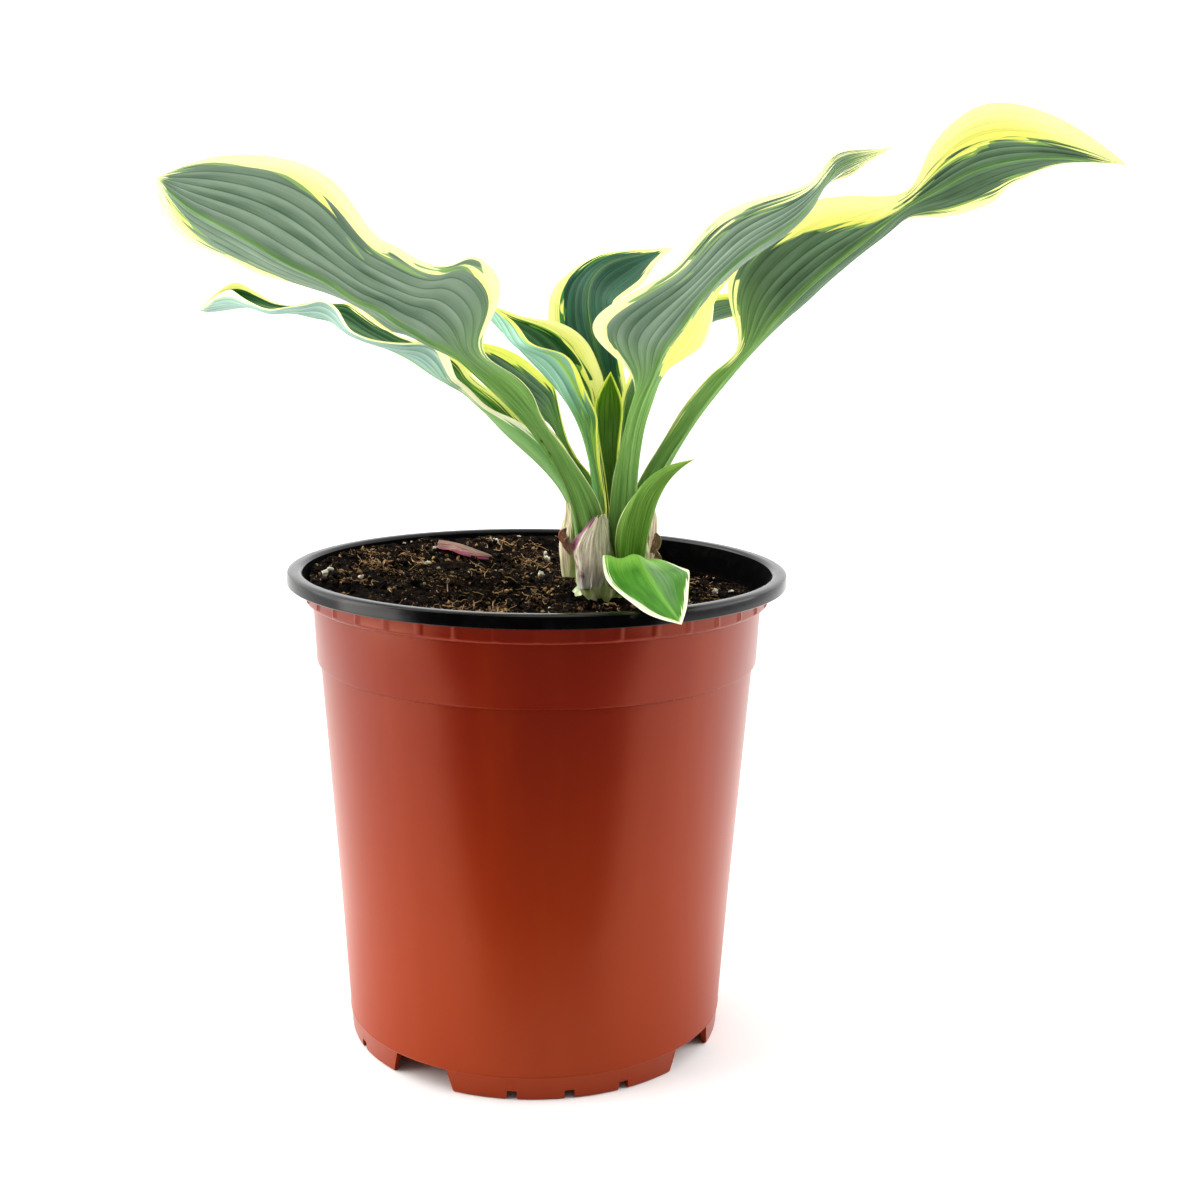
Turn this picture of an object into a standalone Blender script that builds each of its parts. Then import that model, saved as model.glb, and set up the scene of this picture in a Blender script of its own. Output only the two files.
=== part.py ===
"""A potted hosta: nursery pot, potting soil, crown with its roots, leaves and papery bud scales.

The numbers below are millimetres; MM turns them into Blender's metres. The pot stands on Z = 0
with its axis on the Z axis, and its front faces -Y.
"""

import math

import bmesh
import bpy
import numpy as np

MM = 0.001
TURN_STEPS = 64

# Pot
RIM_RADIUS = 82.5
RIM_INNER_RADIUS = 77.5
RIM_TOP = 159.5
RIM_BOTTOM = 155.2
COLLAR_RADIUS = 76.7
COLLAR_BOTTOM = 149.8
BAND_RADIUS = 74.2
RING_HEIGHT = 129.3
RING_RADIUS = 73.3
WALL_TOP_RADIUS = 72.1
FOOT_RADIUS = 63.4
WALL = 1.2
FLOOR = 1.6
FEET = 4
FOOT_TURN = 55.0
ARCH_WIDTH = 25.0
ARCH_HEIGHT = 7.5
ARCH_INNER_RADIUS = 56.0
NOTCH_STEP = 16.5
NOTCH_WIDTH = 3.8
NOTCH_HEIGHT = 3.0
FOOT_CUT_TAPER = 0.8

# Soil
GAP = 0.3
SOIL_TOP = 150.2
SOIL_BANK = 6.0
SOIL_BANK_WIDTH = 46.0
SOIL_BANK_TOWARDS = (-0.75, 0.66)
SOIL_DIP = 3.0
SOIL_DIP_CENTRE = (45.0, 38.0)
SOIL_DIP_WIDTH = 28.0
SOIL_CELLS = 16

# Crown
CROWN_CENTRE = (23.0, 0.0, 143.0)
CROWN_RADII = (14.5, 16.5, 13.0)
CROWN_TOP = 154.6
ROOTS = 8
ROOT_RADIUS = 1.7
ROOT_REACH = 30.0
ROOT_DEPTH = 88.0
ROOT_START = 6.0
ROOT_DROP = 4.0
ROOT_SWAY = 0.5
ROOT_TAPER = 0.45
ROOT_BENDS = 5

LEAF_THICKNESS = 1.2
LEAF_COLUMNS = 6
SCALE_THICKNESS = 0.7
SCALE_COLUMNS = 4
SCALE_ROWS = 8

# Colours
TERRACOTTA = (0.42, 0.07, 0.03)
PEAT = (0.03, 0.018, 0.012)
CROWN_GREEN = (0.45, 0.5, 0.25)
LEAF_GREEN = (0.13, 0.3, 0.18)
PAPER_BROWN = (0.45, 0.33, 0.25)
PERLITE_WHITE = (0.8, 0.78, 0.7)

# A leaf is a list of stations from its foot to its tip. A station holds a point on the midrib,
# one on the left margin and one on the right margin, seen from the foot with the upper side up.
# The last station is the tip. "channel" is how deeply the stalk is grooved, as a share of its
# half width, "stalk" is how many stations it takes to open out, and "hollow" is the blade's own
# hollow.
LEAVES = {
    "leaf_upper_left": dict(
        stalk=5,
        channel=0.35,
        hollow=0.05,
        stations=(
            ((16, -6, 156), (21, -3, 156), (18, 1, 156)),
            ((11, -13, 182), (20, -12, 181), (17, -4, 182)),
            ((-5, -23, 210), (0, -18, 212), (-2, -12, 214)),
            ((-20, -32, 225), (-10, -26, 225), (-18, -22, 228)),
            ((-27, -36, 231), (-17, -31, 235), (-31, -26, 233)),
            ((-33, -39, 234), (-12, -32, 250), (-37, -26, 235)),
            ((-38, -41, 237), (-19, -36, 259), (-42, -27, 237)),
            ((-43, -42, 240), (-26, -39, 257), (-47, -27, 237)),
            ((-47, -43, 243), (-33, -42, 257), (-52, -28, 240)),
            ((-54, -44, 246), (-41, -45, 261), (-58, -29, 246)),
            ((-60, -46, 250), (-47, -47, 264), (-67, -30, 249)),
            ((-74, -48, 257), (-58, -48, 278), (-83, -33, 253)),
            ((-88, -49, 265), (-76, -47, 286), (-99, -37, 259)),
            ((-100, -48, 271), (-94, -46, 286), (-109, -42, 267)),
            (-111, -44, 280),
        ),
    ),
    "leaf_lower_left": dict(
        stalk=6,
        channel=0.3,
        hollow=0.08,
        stations=(
            ((13, 4, 155), (15, 3, 156), (16, 9, 155)),
            ((10, 8, 180), (13, 7, 182), (14, 13, 181)),
            ((-13, 17, 204), (-9, 14, 207), (-8, 22, 208)),
            ((-21, 20, 212), (-19, 16, 212), (-16, 26, 215)),
            ((-26, 21, 216), (-24, 15, 217), (-23, 30, 220)),
            ((-32, 22, 219), (-28, 13, 221), (-25, 34, 225)),
            ((-37, 23, 222), (-30, 11, 227), (-29, 37, 229)),
            ((-43, 24, 226), (-35, 9, 232), (-37, 40, 231)),
            ((-49, 25, 229), (-42, 8, 232), (-46, 42, 232)),
            ((-56, 25, 232), (-49, 8, 232), (-53, 43, 235)),
            ((-62, 26, 235), (-56, 8, 233), (-59, 44, 238)),
            ((-66, 26, 237), (-62, 8, 236), (-64, 44, 242)),
            ((-71, 27, 239), (-66, 8, 242), (-68, 44, 244)),
            ((-76, 27, 240), (-71, 8, 245), (-74, 42, 244)),
            ((-81, 28, 241), (-76, 9, 244), (-80, 40, 244)),
            ((-86, 28, 242), (-82, 10, 243), (-85, 38, 243)),
            ((-91, 28, 242), (-88, 12, 242), (-91, 37, 244)),
            ((-96, 28, 243), (-93, 15, 243), (-95, 36, 246)),
            ((-101, 28, 243), (-99, 18, 246), (-100, 34, 249)),
            ((-107, 28, 242), (-104, 22, 248), (-105, 32, 250)),
            (-116, 28, 241),
        ),
    ),
    "leaf_small_left": dict(
        stalk=5,
        channel=0.3,
        hollow=0.08,
        stations=(
            ((19, 13, 156), (21, 11, 156), (21, 17, 156)),
            ((19, 13, 179), (21, 11, 180), (22, 16, 180)),
            ((14, 15, 189), (17, 12, 189), (16, 18, 189)),
            ((8, 16, 199), (10, 13, 199), (9, 20, 200)),
            ((4, 17, 206), (6, 13, 213), (3, 21, 207)),
            ((-3, 18, 212), (4, 13, 219), (-8, 21, 211)),
            ((-12, 19, 218), (-4, 14, 226), (-18, 22, 217)),
            ((-20, 20, 225), (-15, 16, 231), (-25, 22, 224)),
            (-30, 20, 232),
        ),
    ),
    "leaf_centre_left": dict(
        stalk=4,
        channel=0.35,
        hollow=0.08,
        stations=(
            ((21, 3, 156), (22, 1, 156), (22, 6, 156)),
            ((20, 2, 181), (22, -2, 182), (22, 8, 181)),
            ((17, 2, 197), (19, -5, 199), (21, 11, 198)),
            ((10, 2, 213), (18, -9, 211), (22, 14, 216)),
            ((3, 2, 222), (14, -13, 221), (20, 18, 224)),
            ((-4, 3, 229), (7, -15, 230), (15, 20, 233)),
            ((-10, 4, 235), (-3, -12, 233), (5, 20, 239)),
            ((-15, 5, 240), (-8, -4, 239), (-5, 15, 241)),
            (-20, 8, 246),
        ),
    ),
    "leaf_back": dict(
        stalk=4,
        channel=0.25,
        hollow=0.06,
        stations=(
            ((26, 22, 156), (24, 19, 156), (28, 19, 156)),
            ((25, 23, 179), (23, 19, 179), (27, 19, 179)),
            ((25, 25, 199), (22, 21, 199), (28, 21, 199)),
            ((25, 29, 211), (21, 25, 212), (29, 24, 214)),
            ((22, 33, 221), (17, 29, 224), (29, 25, 222)),
            ((19, 38, 232), (6, 40, 233), (27, 27, 231)),
            ((17, 44, 243), (3, 50, 242), (25, 28, 240)),
            ((18, 50, 252), (7, 58, 253), (26, 30, 246)),
            ((25, 56, 259), (21, 62, 262), (35, 38, 252)),
            ((36, 60, 262), (34, 64, 264), (42, 50, 260)),
            (48, 62, 265),
        ),
    ),
    "leaf_centre_right": dict(
        stalk=5,
        channel=0.3,
        hollow=0.06,
        stations=(
            ((28, -9, 156), (30, -5, 156), (26, -5, 156)),
            ((28, -14, 183), (30, -7, 184), (23, -8, 182)),
            ((29, -20, 203), (32, -11, 204), (27, -14, 203)),
            ((32, -26, 217), (35, -14, 217), (30, -19, 217)),
            ((35, -29, 225), (40, -12, 228), (27, -25, 226)),
            ((38, -31, 233), (52, -6, 232), (18, -30, 234)),
            ((43, -33, 240), (56, -6, 246), (18, -34, 243)),
            ((48, -35, 248), (58, -8, 254), (34, -40, 253)),
            ((56, -37, 257), (63, -20, 261), (43, -44, 261)),
            ((66, -38, 265), (75, -26, 269), (53, -46, 272)),
            ((76, -38, 272), (84, -28, 279), (67, -44, 278)),
            ((83, -38, 281), (86, -32, 283), (80, -42, 283)),
            ((88, -36, 286.5), (91, -35, 284), (86.5, -36, 290)),
            ((96, -35, 290.2), (97, -35, 288), (95.5, -35, 292.3)),
            (105, -34, 293),
        ),
    ),
    "leaf_right": dict(
        stalk=6,
        channel=0.3,
        hollow=0.06,
        stations=(
            ((34, 4, 156), (36, 9, 156), (33, 8, 156)),
            ((35, 5, 178), (36, 12, 178), (31, 8, 180)),
            ((42, 6, 194), (43, 14, 196), (38, 9, 195)),
            ((51, 6, 208), (52, 15, 212), (47, 9, 210)),
            ((61, 6, 222), (64, 16, 225), (58, 8, 224)),
            ((69, 4, 232), (75, 17, 237), (65, 4, 234)),
            ((77, 1, 242), (85, 16, 246), (61, 2, 252)),
            ((86, -3, 252), (95, 13, 256), (69, -2, 268)),
            ((97, -7, 262), (105, 8, 265), (84, -8, 278)),
            ((106, -11, 270), (115, 2, 272), (100, -14, 280)),
            ((114, -14, 277), (119, -6, 274), (114, -17, 282)),
            ((123, -15, 282), (130, -8, 275), (120, -20, 294)),
            ((134, -15, 288), (142, -8, 278), (132, -22, 306)),
            ((148, -15, 292), (149, -8, 284), (149, -21, 307)),
            ((164, -13, 293), (163, -8, 291), (167, -16, 301)),
            (185, -10, 291),
        ),
    ),
    "leaf_back_right": dict(
        stalk=4,
        channel=0.3,
        hollow=0.06,
        stations=(
            ((30, 12, 156), (32, 15, 156), (29, 15, 156)),
            ((28, 10, 180), (30, 15, 181), (27, 13, 180)),
            ((30, 8, 201), (33, 14, 201), (27, 11, 201)),
            ((32, 8, 212), (37, 18, 213), (28, 12, 215)),
            ((36, 10, 223), (42, 24, 225), (31, 14, 224)),
            ((43, 14, 232), (50, 30, 232), (38, 16, 237)),
            ((52, 20, 240), (58, 34, 238), (49, 20, 246)),
            ((64, 28, 245), (69, 38, 242), (62, 26, 249)),
            ((79, 34, 247), (82, 42, 245), (78, 34, 251)),
            (94, 42, 254),
        ),
    ),
    "leaf_young_spear": dict(
        stalk=4,
        channel=0.3,
        hollow=0.12,
        stations=(
            ((26, 9, 156), (24, 7, 156), (28, 7, 156)),
            ((25, 6, 181), (23, 3, 181), (27, 3, 181)),
            ((23, 3, 198), (20, -1, 198), (26, -1, 198)),
            ((23, 2, 208), (18, -3, 210), (27, -3, 210)),
            ((23, 0, 217), (19, -4, 217), (26, -4, 217)),
            (23, -3, 224),
        ),
    ),
    "bract_front_right": dict(
        stalk=4,
        channel=0.3,
        hollow=0.1,
        stations=(
            ((30, -14, 156), (33, -10, 156), (27, -12, 156)),
            ((31, -21, 177), (36, -15, 178), (26, -18, 178)),
            ((34, -25, 187), (39, -18, 187), (32, -20, 188)),
            ((40, -28, 194), (43, -23, 194), (39, -24, 195)),
            (49, -31, 199),
        ),
    ),
    "leaf_over_rim": dict(
        stalk=2,
        channel=0.1,
        hollow=0.1,
        stations=(
            ((28, -17, 157), (31, -17, 157), (25, -18, 157)),
            ((30, -25, 167), (36, -21, 165), (21, -26, 167)),
            ((32, -40, 167), (44, -32, 165), (20, -40, 166)),
            ((34, -58, 165), (46, -48, 166), (22, -56, 163)),
            ((36, -74, 163), (44, -67, 164), (28, -75, 161)),
            ((38, -84, 161), (42, -83, 162), (33, -86, 160)),
            (40, -91, 159),
        ),
    ),
}

SCALES = {
    "sheath_front": dict(
        stalk=3,
        channel=0.2,
        hollow=0.1,
        stations=(
            ((17, -18, 155), (20, -15, 155), (13, -14, 155)),
            ((17, -20, 163), (23, -13, 164), (12, -11, 163)),
            ((17, -20, 170), (23, -14, 169), (11, -10, 168)),
            ((18, -20, 175), (22, -15, 175), (14, -14, 173)),
            (20, -19, 181),
        ),
    ),
    "sheath_left": dict(
        stalk=3,
        channel=0.2,
        hollow=0.1,
        stations=(
            ((10, -3, 156), (12, -2, 156), (9, 1, 156)),
            ((9, -3, 168), (12, -2, 168), (8, 3, 168)),
            ((10, 0, 176), (11, -2, 177), (9, 4, 177)),
            (9, 3, 182),
        ),
    ),
    "sheath_right": dict(
        stalk=3,
        channel=0.2,
        hollow=0.1,
        stations=(
            ((36, -3, 156), (37, 1, 156), (34, -5, 156)),
            ((37, -2, 168), (39, 4, 168), (35, -5, 168)),
            ((38, 0, 176), (39, 4, 176), (36, -2, 177)),
            (38, 2, 180),
        ),
    ),
    "scale_brown": dict(
        stalk=2,
        channel=0.2,
        hollow=0.2,
        stations=(
            ((26, -21, 156), (30, -20, 156), (23, -19, 156)),
            ((27, -23, 160), (31, -22, 160), (24, -21, 160)),
            (29, -25, 162),
        ),
    ),
    "bract_fallen": dict(
        stalk=1,
        channel=0.2,
        hollow=0.2,
        stations=(
            ((-36, 48, 160), (-34, 51, 158), (-38, 45, 158)),
            ((-29, 41, 160), (-26, 44, 158), (-32, 38, 158)),
            ((-22, 33, 159), (-19, 35, 157), (-24, 30, 157)),
            (-15, 27, 157),
        ),
    ),
}

# Each grain: its place on the soil and its radius
PERLITE = (
    (-69.5, -10.0, 1.5),
    (-38.0, 17.0, 1.3),
    (-16.0, 60.5, 1.4),
    (3.0, 42.0, 1.2),
    (59.0, -4.0, 1.3),
    (1.0, 18.5, 1.2),
)


def clear_scene():
    for existing in list(bpy.data.objects):
        bpy.data.objects.remove(existing, do_unlink=True)


def make_collection(name):
    collection = bpy.data.collections.new(name)
    bpy.context.scene.collection.children.link(collection)
    return collection


def make_material(name, colour, roughness):
    material = bpy.data.materials.new(name)
    material.use_nodes = True
    shader = material.node_tree.nodes["Principled BSDF"]
    shader.inputs["Base Color"].default_value = (*colour, 1.0)
    shader.inputs["Roughness"].default_value = roughness
    return material


def add_object(name, mesh, material, collection):
    added = bpy.data.objects.new(name, mesh)
    mesh.materials.append(material)
    collection.objects.link(added)
    return added


def finish_mesh(bm, name):
    """Close a bmesh off as a mesh in metres."""
    bmesh.ops.scale(bm, vec=(MM, MM, MM), verts=bm.verts)
    mesh = bpy.data.meshes.new(name)
    bm.to_mesh(mesh)
    bm.free()
    return mesh


def add_boolean(target, cutter, operation):
    modifier = target.modifiers.new(cutter.name, "BOOLEAN")
    modifier.operation = operation
    modifier.solver = "EXACT"
    modifier.object = cutter
    cutter.hide_render = True
    cutter.display_type = "WIRE"


def turned(profile):
    """A closed solid of revolution about Z, from a profile of (radius, height) on the axis at both ends."""
    bm = bmesh.new()
    verts = [bm.verts.new((radius, 0, height)) for radius, height in profile]
    edges = [bm.edges.new(pair) for pair in zip(verts, verts[1:])]
    bmesh.ops.spin(
        bm,
        geom=verts + edges,
        axis=(0, 0, 1),
        cent=(0, 0, 0),
        angle=math.tau,
        steps=TURN_STEPS,
        use_merge=True,
    )
    bmesh.ops.remove_doubles(bm, verts=bm.verts, dist=1e-4)
    bmesh.ops.recalc_face_normals(bm, faces=bm.faces)
    return bm


def pot_profile():
    rim_middle = (RIM_RADIUS + RIM_INNER_RADIUS) / 2
    return (
        (0, 0),
        (FOOT_RADIUS - 1, 0),
        (FOOT_RADIUS, 1),
        (WALL_TOP_RADIUS, RING_HEIGHT - 0.6),
        (RING_RADIUS, RING_HEIGHT + 0.6),
        (BAND_RADIUS, COLLAR_BOTTOM - 0.8),
        (COLLAR_RADIUS, COLLAR_BOTTOM + 0.8),
        (COLLAR_RADIUS, RIM_BOTTOM + 1.4),
        (COLLAR_RADIUS + 1.6, RIM_TOP - WALL),
        (RIM_RADIUS - WALL, RIM_TOP - WALL),
        (RIM_RADIUS - WALL, RIM_BOTTOM),
        (RIM_RADIUS, RIM_BOTTOM),
        (RIM_RADIUS, RIM_TOP - 0.8),
        (RIM_RADIUS - 0.8, RIM_TOP - 0.1),
        (rim_middle, RIM_TOP),
        (RIM_INNER_RADIUS + 0.8, RIM_TOP - 0.1),
        (RIM_INNER_RADIUS, RIM_TOP - 1.2),
        (COLLAR_RADIUS - WALL, RIM_BOTTOM),
        (COLLAR_RADIUS - WALL, COLLAR_BOTTOM),
        (BAND_RADIUS - WALL, COLLAR_BOTTOM - 1.4),
        (RING_RADIUS - WALL, RING_HEIGHT),
        (WALL_TOP_RADIUS - WALL, RING_HEIGHT - 1.4),
        (FOOT_RADIUS - WALL, FLOOR + 1),
        (FOOT_RADIUS - WALL - 1, FLOOR),
        (0, FLOOR),
    )


def foot_cutters():
    """The drainage arches between the feet, and the small notches in each foot."""
    bm = bmesh.new()
    depth = RIM_RADIUS - ARCH_INNER_RADIUS
    shapes = []
    for foot in range(FEET):
        arch_turn = math.radians(FOOT_TURN + foot * 360 / FEET)
        shapes.append((arch_turn, ARCH_WIDTH, ARCH_HEIGHT, ARCH_INNER_RADIUS))
        foot_middle = arch_turn + math.pi / FEET
        for place in (-1, 0, 1):
            notch_turn = foot_middle + math.radians(place * NOTCH_STEP)
            shapes.append((notch_turn, NOTCH_WIDTH, NOTCH_HEIGHT, FOOT_RADIUS - 3 * WALL))
    for turn, width, height, inner in shapes:
        for vert in bmesh.ops.create_cube(bm, size=1)["verts"]:
            top = vert.co.z > 0
            side = vert.co.y * width * (FOOT_CUT_TAPER if top else 1)
            reach = inner + (vert.co.x + 0.5) * depth
            up = height if top else -1
            vert.co = (
                reach * math.sin(turn) + side * math.cos(turn),
                -reach * math.cos(turn) + side * math.sin(turn),
                up,
            )
    bmesh.ops.recalc_face_normals(bm, faces=bm.faces)
    return bm


def soil_height(x, y):
    """The soil's surface: banked up at the back left, and dished at the back right."""
    up_bank = (x * SOIL_BANK_TOWARDS[0] + y * SOIL_BANK_TOWARDS[1]) / SOIL_BANK_WIDTH
    bank = SOIL_BANK * min(max(up_bank, 0), 1)
    from_dip = math.dist((x, y), SOIL_DIP_CENTRE) / SOIL_DIP_WIDTH
    return SOIL_TOP + bank - SOIL_DIP * math.exp(-(from_dip**2))


def soil_mesh():
    inner_foot = FOOT_RADIUS - WALL - GAP
    profile = (
        (0, FLOOR + GAP),
        (inner_foot - 1.2, FLOOR + GAP),
        (inner_foot, FLOOR + GAP + 1.2),
        (WALL_TOP_RADIUS - WALL - GAP, RING_HEIGHT - 2),
        (RING_RADIUS - WALL - GAP, RING_HEIGHT + 1),
        (BAND_RADIUS - WALL - GAP, COLLAR_BOTTOM - 1),
        (COLLAR_RADIUS - WALL - GAP, COLLAR_BOTTOM + 0.6),
        (COLLAR_RADIUS - WALL - GAP, RIM_TOP),
        (0, RIM_TOP),
    )
    return finish_mesh(turned(profile), "potting_soil")


def soil_cutter():
    """A block standing on the soil's surface."""
    bm = bmesh.new()
    grid = bmesh.ops.create_grid(bm, x_segments=SOIL_CELLS, y_segments=SOIL_CELLS, size=RIM_RADIUS)
    for vert in grid["verts"]:
        vert.co.z = soil_height(vert.co.x, vert.co.y)
    raised = bmesh.ops.extrude_face_region(bm, geom=bm.faces[:])["geom"]
    for vert in (part for part in raised if isinstance(part, bmesh.types.BMVert)):
        vert.co.z = RIM_TOP + 10
    bmesh.ops.recalc_face_normals(bm, faces=bm.faces)
    return finish_mesh(bm, "soil_cutter")


def crown_mesh(name, grow):
    """The short rootstock, flat where the stalks leave it; grow makes the pocket it sits in."""
    bm = bmesh.new()
    bmesh.ops.create_uvsphere(bm, u_segments=20, v_segments=12, radius=1)
    for vert in bm.verts:
        for axis in range(3):
            vert.co[axis] = CROWN_CENTRE[axis] + vert.co[axis] * (CROWN_RADII[axis] + grow)
        vert.co.z = min(vert.co.z, CROWN_TOP + grow)
    return finish_mesh(bm, name)


def root_object(number, grow, collection):
    """One fleshy root, leaving the crown's side and bending down."""
    turn = math.tau * (number + 0.3) / ROOTS
    curve = bpy.data.curves.new(f"root_{number}", "CURVE")
    curve.dimensions = "3D"
    curve.bevel_depth = (ROOT_RADIUS + grow) * MM
    curve.bevel_resolution = 1
    curve.use_fill_caps = True
    spline = curve.splines.new("POLY")
    spline.points.add(ROOT_BENDS)
    for step, point in enumerate(spline.points):
        share = step / ROOT_BENDS
        out = ROOT_START + ROOT_REACH * math.sin(share * math.pi / 2)
        sway = turn + ROOT_SWAY * share
        x = CROWN_CENTRE[0] * (1 - share * 0.9) + out * math.cos(sway)
        y = CROWN_CENTRE[1] + out * math.sin(sway)
        z = CROWN_CENTRE[2] - ROOT_DROP - ROOT_DEPTH * share**1.4 * (0.8 + 0.2 * math.cos(3 * turn))
        point.co = (x * MM, y * MM, z * MM, 1)
        point.radius = 1 - (ROOT_TAPER - 0.2 * grow) * share
    drawn = bpy.data.objects.new("drawn_root", curve)
    collection.objects.link(drawn)
    view = bpy.context.evaluated_depsgraph_get()
    mesh = bpy.data.meshes.new_from_object(drawn.evaluated_get(view))
    bpy.data.objects.remove(drawn, do_unlink=True)
    root = bpy.data.objects.new(f"root_{number}_{'pocket' if grow else 'core'}", mesh)
    collection.objects.link(root)
    return root


def natural_spline(knots, values, where):
    """A natural cubic spline through values at knots, read at each place in where."""
    count = len(knots)
    gaps = np.diff(knots)
    matrix = np.eye(count)
    right = np.zeros_like(values)
    for i in range(1, count - 1):
        matrix[i, i - 1 : i + 2] = gaps[i - 1], 2 * (gaps[i - 1] + gaps[i]), gaps[i]
        rise = (values[i + 1] - values[i]) / gaps[i]
        right[i] = 6 * (rise - (values[i] - values[i - 1]) / gaps[i - 1])
    bend = np.linalg.solve(matrix, right)
    k = np.clip(np.searchsorted(knots, where, side="right") - 1, 0, count - 2)
    gap = gaps[k][:, None]
    after = (knots[k + 1] - where)[:, None]
    before = (where - knots[k])[:, None]
    curved = (bend[k] * after**3 + bend[k + 1] * before**3) / (6 * gap)
    start = (values[k] / gap - bend[k] * gap / 6) * after
    end = (values[k + 1] / gap - bend[k + 1] * gap / 6) * before
    return curved + start + end


def leaf_points(spec, across, along):
    """Points of the leaf's middle surface for across in -1..1 and along in 0..1."""
    stations = np.array([np.broadcast_to(station, (3, 3)) for station in spec["stations"]], float)
    count = len(stations)
    steps = np.linalg.norm(np.diff(stations[:, 0], axis=0), axis=1)
    knots = np.concatenate([[0], np.cumsum(steps)]) / steps.sum()
    lines = [natural_spline(knots, stations[:, line], along) for line in range(3)]
    ahead = natural_spline(knots, stations[:, 0], np.clip(along + 0.01, 0, 1))
    behind = natural_spline(knots, stations[:, 0], np.clip(along - 0.01, 0, 1))
    tangent = ahead - behind
    index = np.arange(count)
    depth = spec["channel"] * np.clip(1 - index / spec["stalk"], 0, 1) + spec["hollow"]
    depth[-1] = 0
    sag = np.interp(along, knots, depth)
    side = np.where(across < 0, -1.0, 1.0)
    share = np.abs(across)
    margin = np.where(across[:, None] < 0, lines[1], lines[2])
    half = margin - lines[0]
    upper = np.cross(side[:, None] * half, tangent)
    upper /= np.maximum(np.linalg.norm(upper, axis=1), 1e-9)[:, None]
    drop = sag * np.linalg.norm(half, axis=1) * 4 * share * (1 - share)
    return lines[0] + half * share[:, None] - upper * drop[:, None]


def leaf_object(name, spec, columns, rows, thickness, material, collection):
    bm = bmesh.new()
    bmesh.ops.create_grid(bm, x_segments=columns, y_segments=rows, size=1)
    flat = np.array([vert.co for vert in bm.verts])
    points = leaf_points(spec, flat[:, 0], (flat[:, 1] + 1) / 2)
    tip = [vert for vert in bm.verts if vert.co.y > 0.999]
    for vert, point in zip(bm.verts, points):
        vert.co = point
    bmesh.ops.remove_doubles(bm, verts=tip, dist=0.01)
    leaf = add_object(name, finish_mesh(bm, name), material, collection)
    solidify = leaf.modifiers.new("thickness", "SOLIDIFY")
    solidify.thickness = thickness * MM
    solidify.offset = 0
    return leaf


def build():
    clear_scene()
    plant = make_collection("potted_hosta")
    helpers = make_collection("helpers")

    terracotta = make_material("pot_plastic", TERRACOTTA, 0.45)
    pot = add_object("nursery_pot", finish_mesh(turned(pot_profile()), "nursery_pot"), terracotta, plant)
    cutter = add_object("foot_cutters", finish_mesh(foot_cutters(), "foot_cutters"), terracotta, helpers)
    add_boolean(pot, cutter, "DIFFERENCE")

    peat = make_material("peat", PEAT, 0.95)
    soil = add_object("potting_soil", soil_mesh(), peat, plant)
    add_boolean(soil, add_object("soil_cutter", soil_cutter(), peat, helpers), "DIFFERENCE")
    crown_green = make_material("crown_skin", CROWN_GREEN, 0.6)
    crown = add_object("crown_and_roots", crown_mesh("crown_and_roots", 0), crown_green, plant)
    pocket = add_object("crown_pocket", crown_mesh("crown_pocket", GAP), crown_green, helpers)
    add_boolean(soil, pocket, "DIFFERENCE")
    for number in range(ROOTS):
        add_boolean(crown, root_object(number, 0, helpers), "UNION")
        add_boolean(soil, root_object(number, GAP, helpers), "DIFFERENCE")

    for name, spec in LEAVES.items():
        green = make_material(name + "_green", LEAF_GREEN, 0.5)
        rows = 2 * len(spec["stations"]) - 2
        leaf_object(name, spec, LEAF_COLUMNS, rows, LEAF_THICKNESS, green, plant)
    for name, spec in SCALES.items():
        paper = make_material(name + "_paper", PAPER_BROWN, 0.7)
        leaf_object(name, spec, SCALE_COLUMNS, SCALE_ROWS, SCALE_THICKNESS, paper, plant)
    for number, (x, y, radius) in enumerate(PERLITE, start=1):
        bm = bmesh.new()
        bmesh.ops.create_icosphere(bm, subdivisions=1, radius=radius)
        height = soil_height(x, y) + radius + GAP
        bmesh.ops.translate(bm, vec=(x, y, height), verts=bm.verts)
        white = make_material(f"perlite_{number}_white", PERLITE_WHITE, 0.9)
        name = f"perlite_grain_{number}"
        add_object(name, finish_mesh(bm, name), white, plant)


build()
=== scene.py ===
"""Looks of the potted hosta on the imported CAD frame: leaves, soil, papery scales and the moulded pot."""
import math
import random

import bmesh
import bpy
import numpy as np
from mathutils import Matrix, Vector, noise


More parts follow.
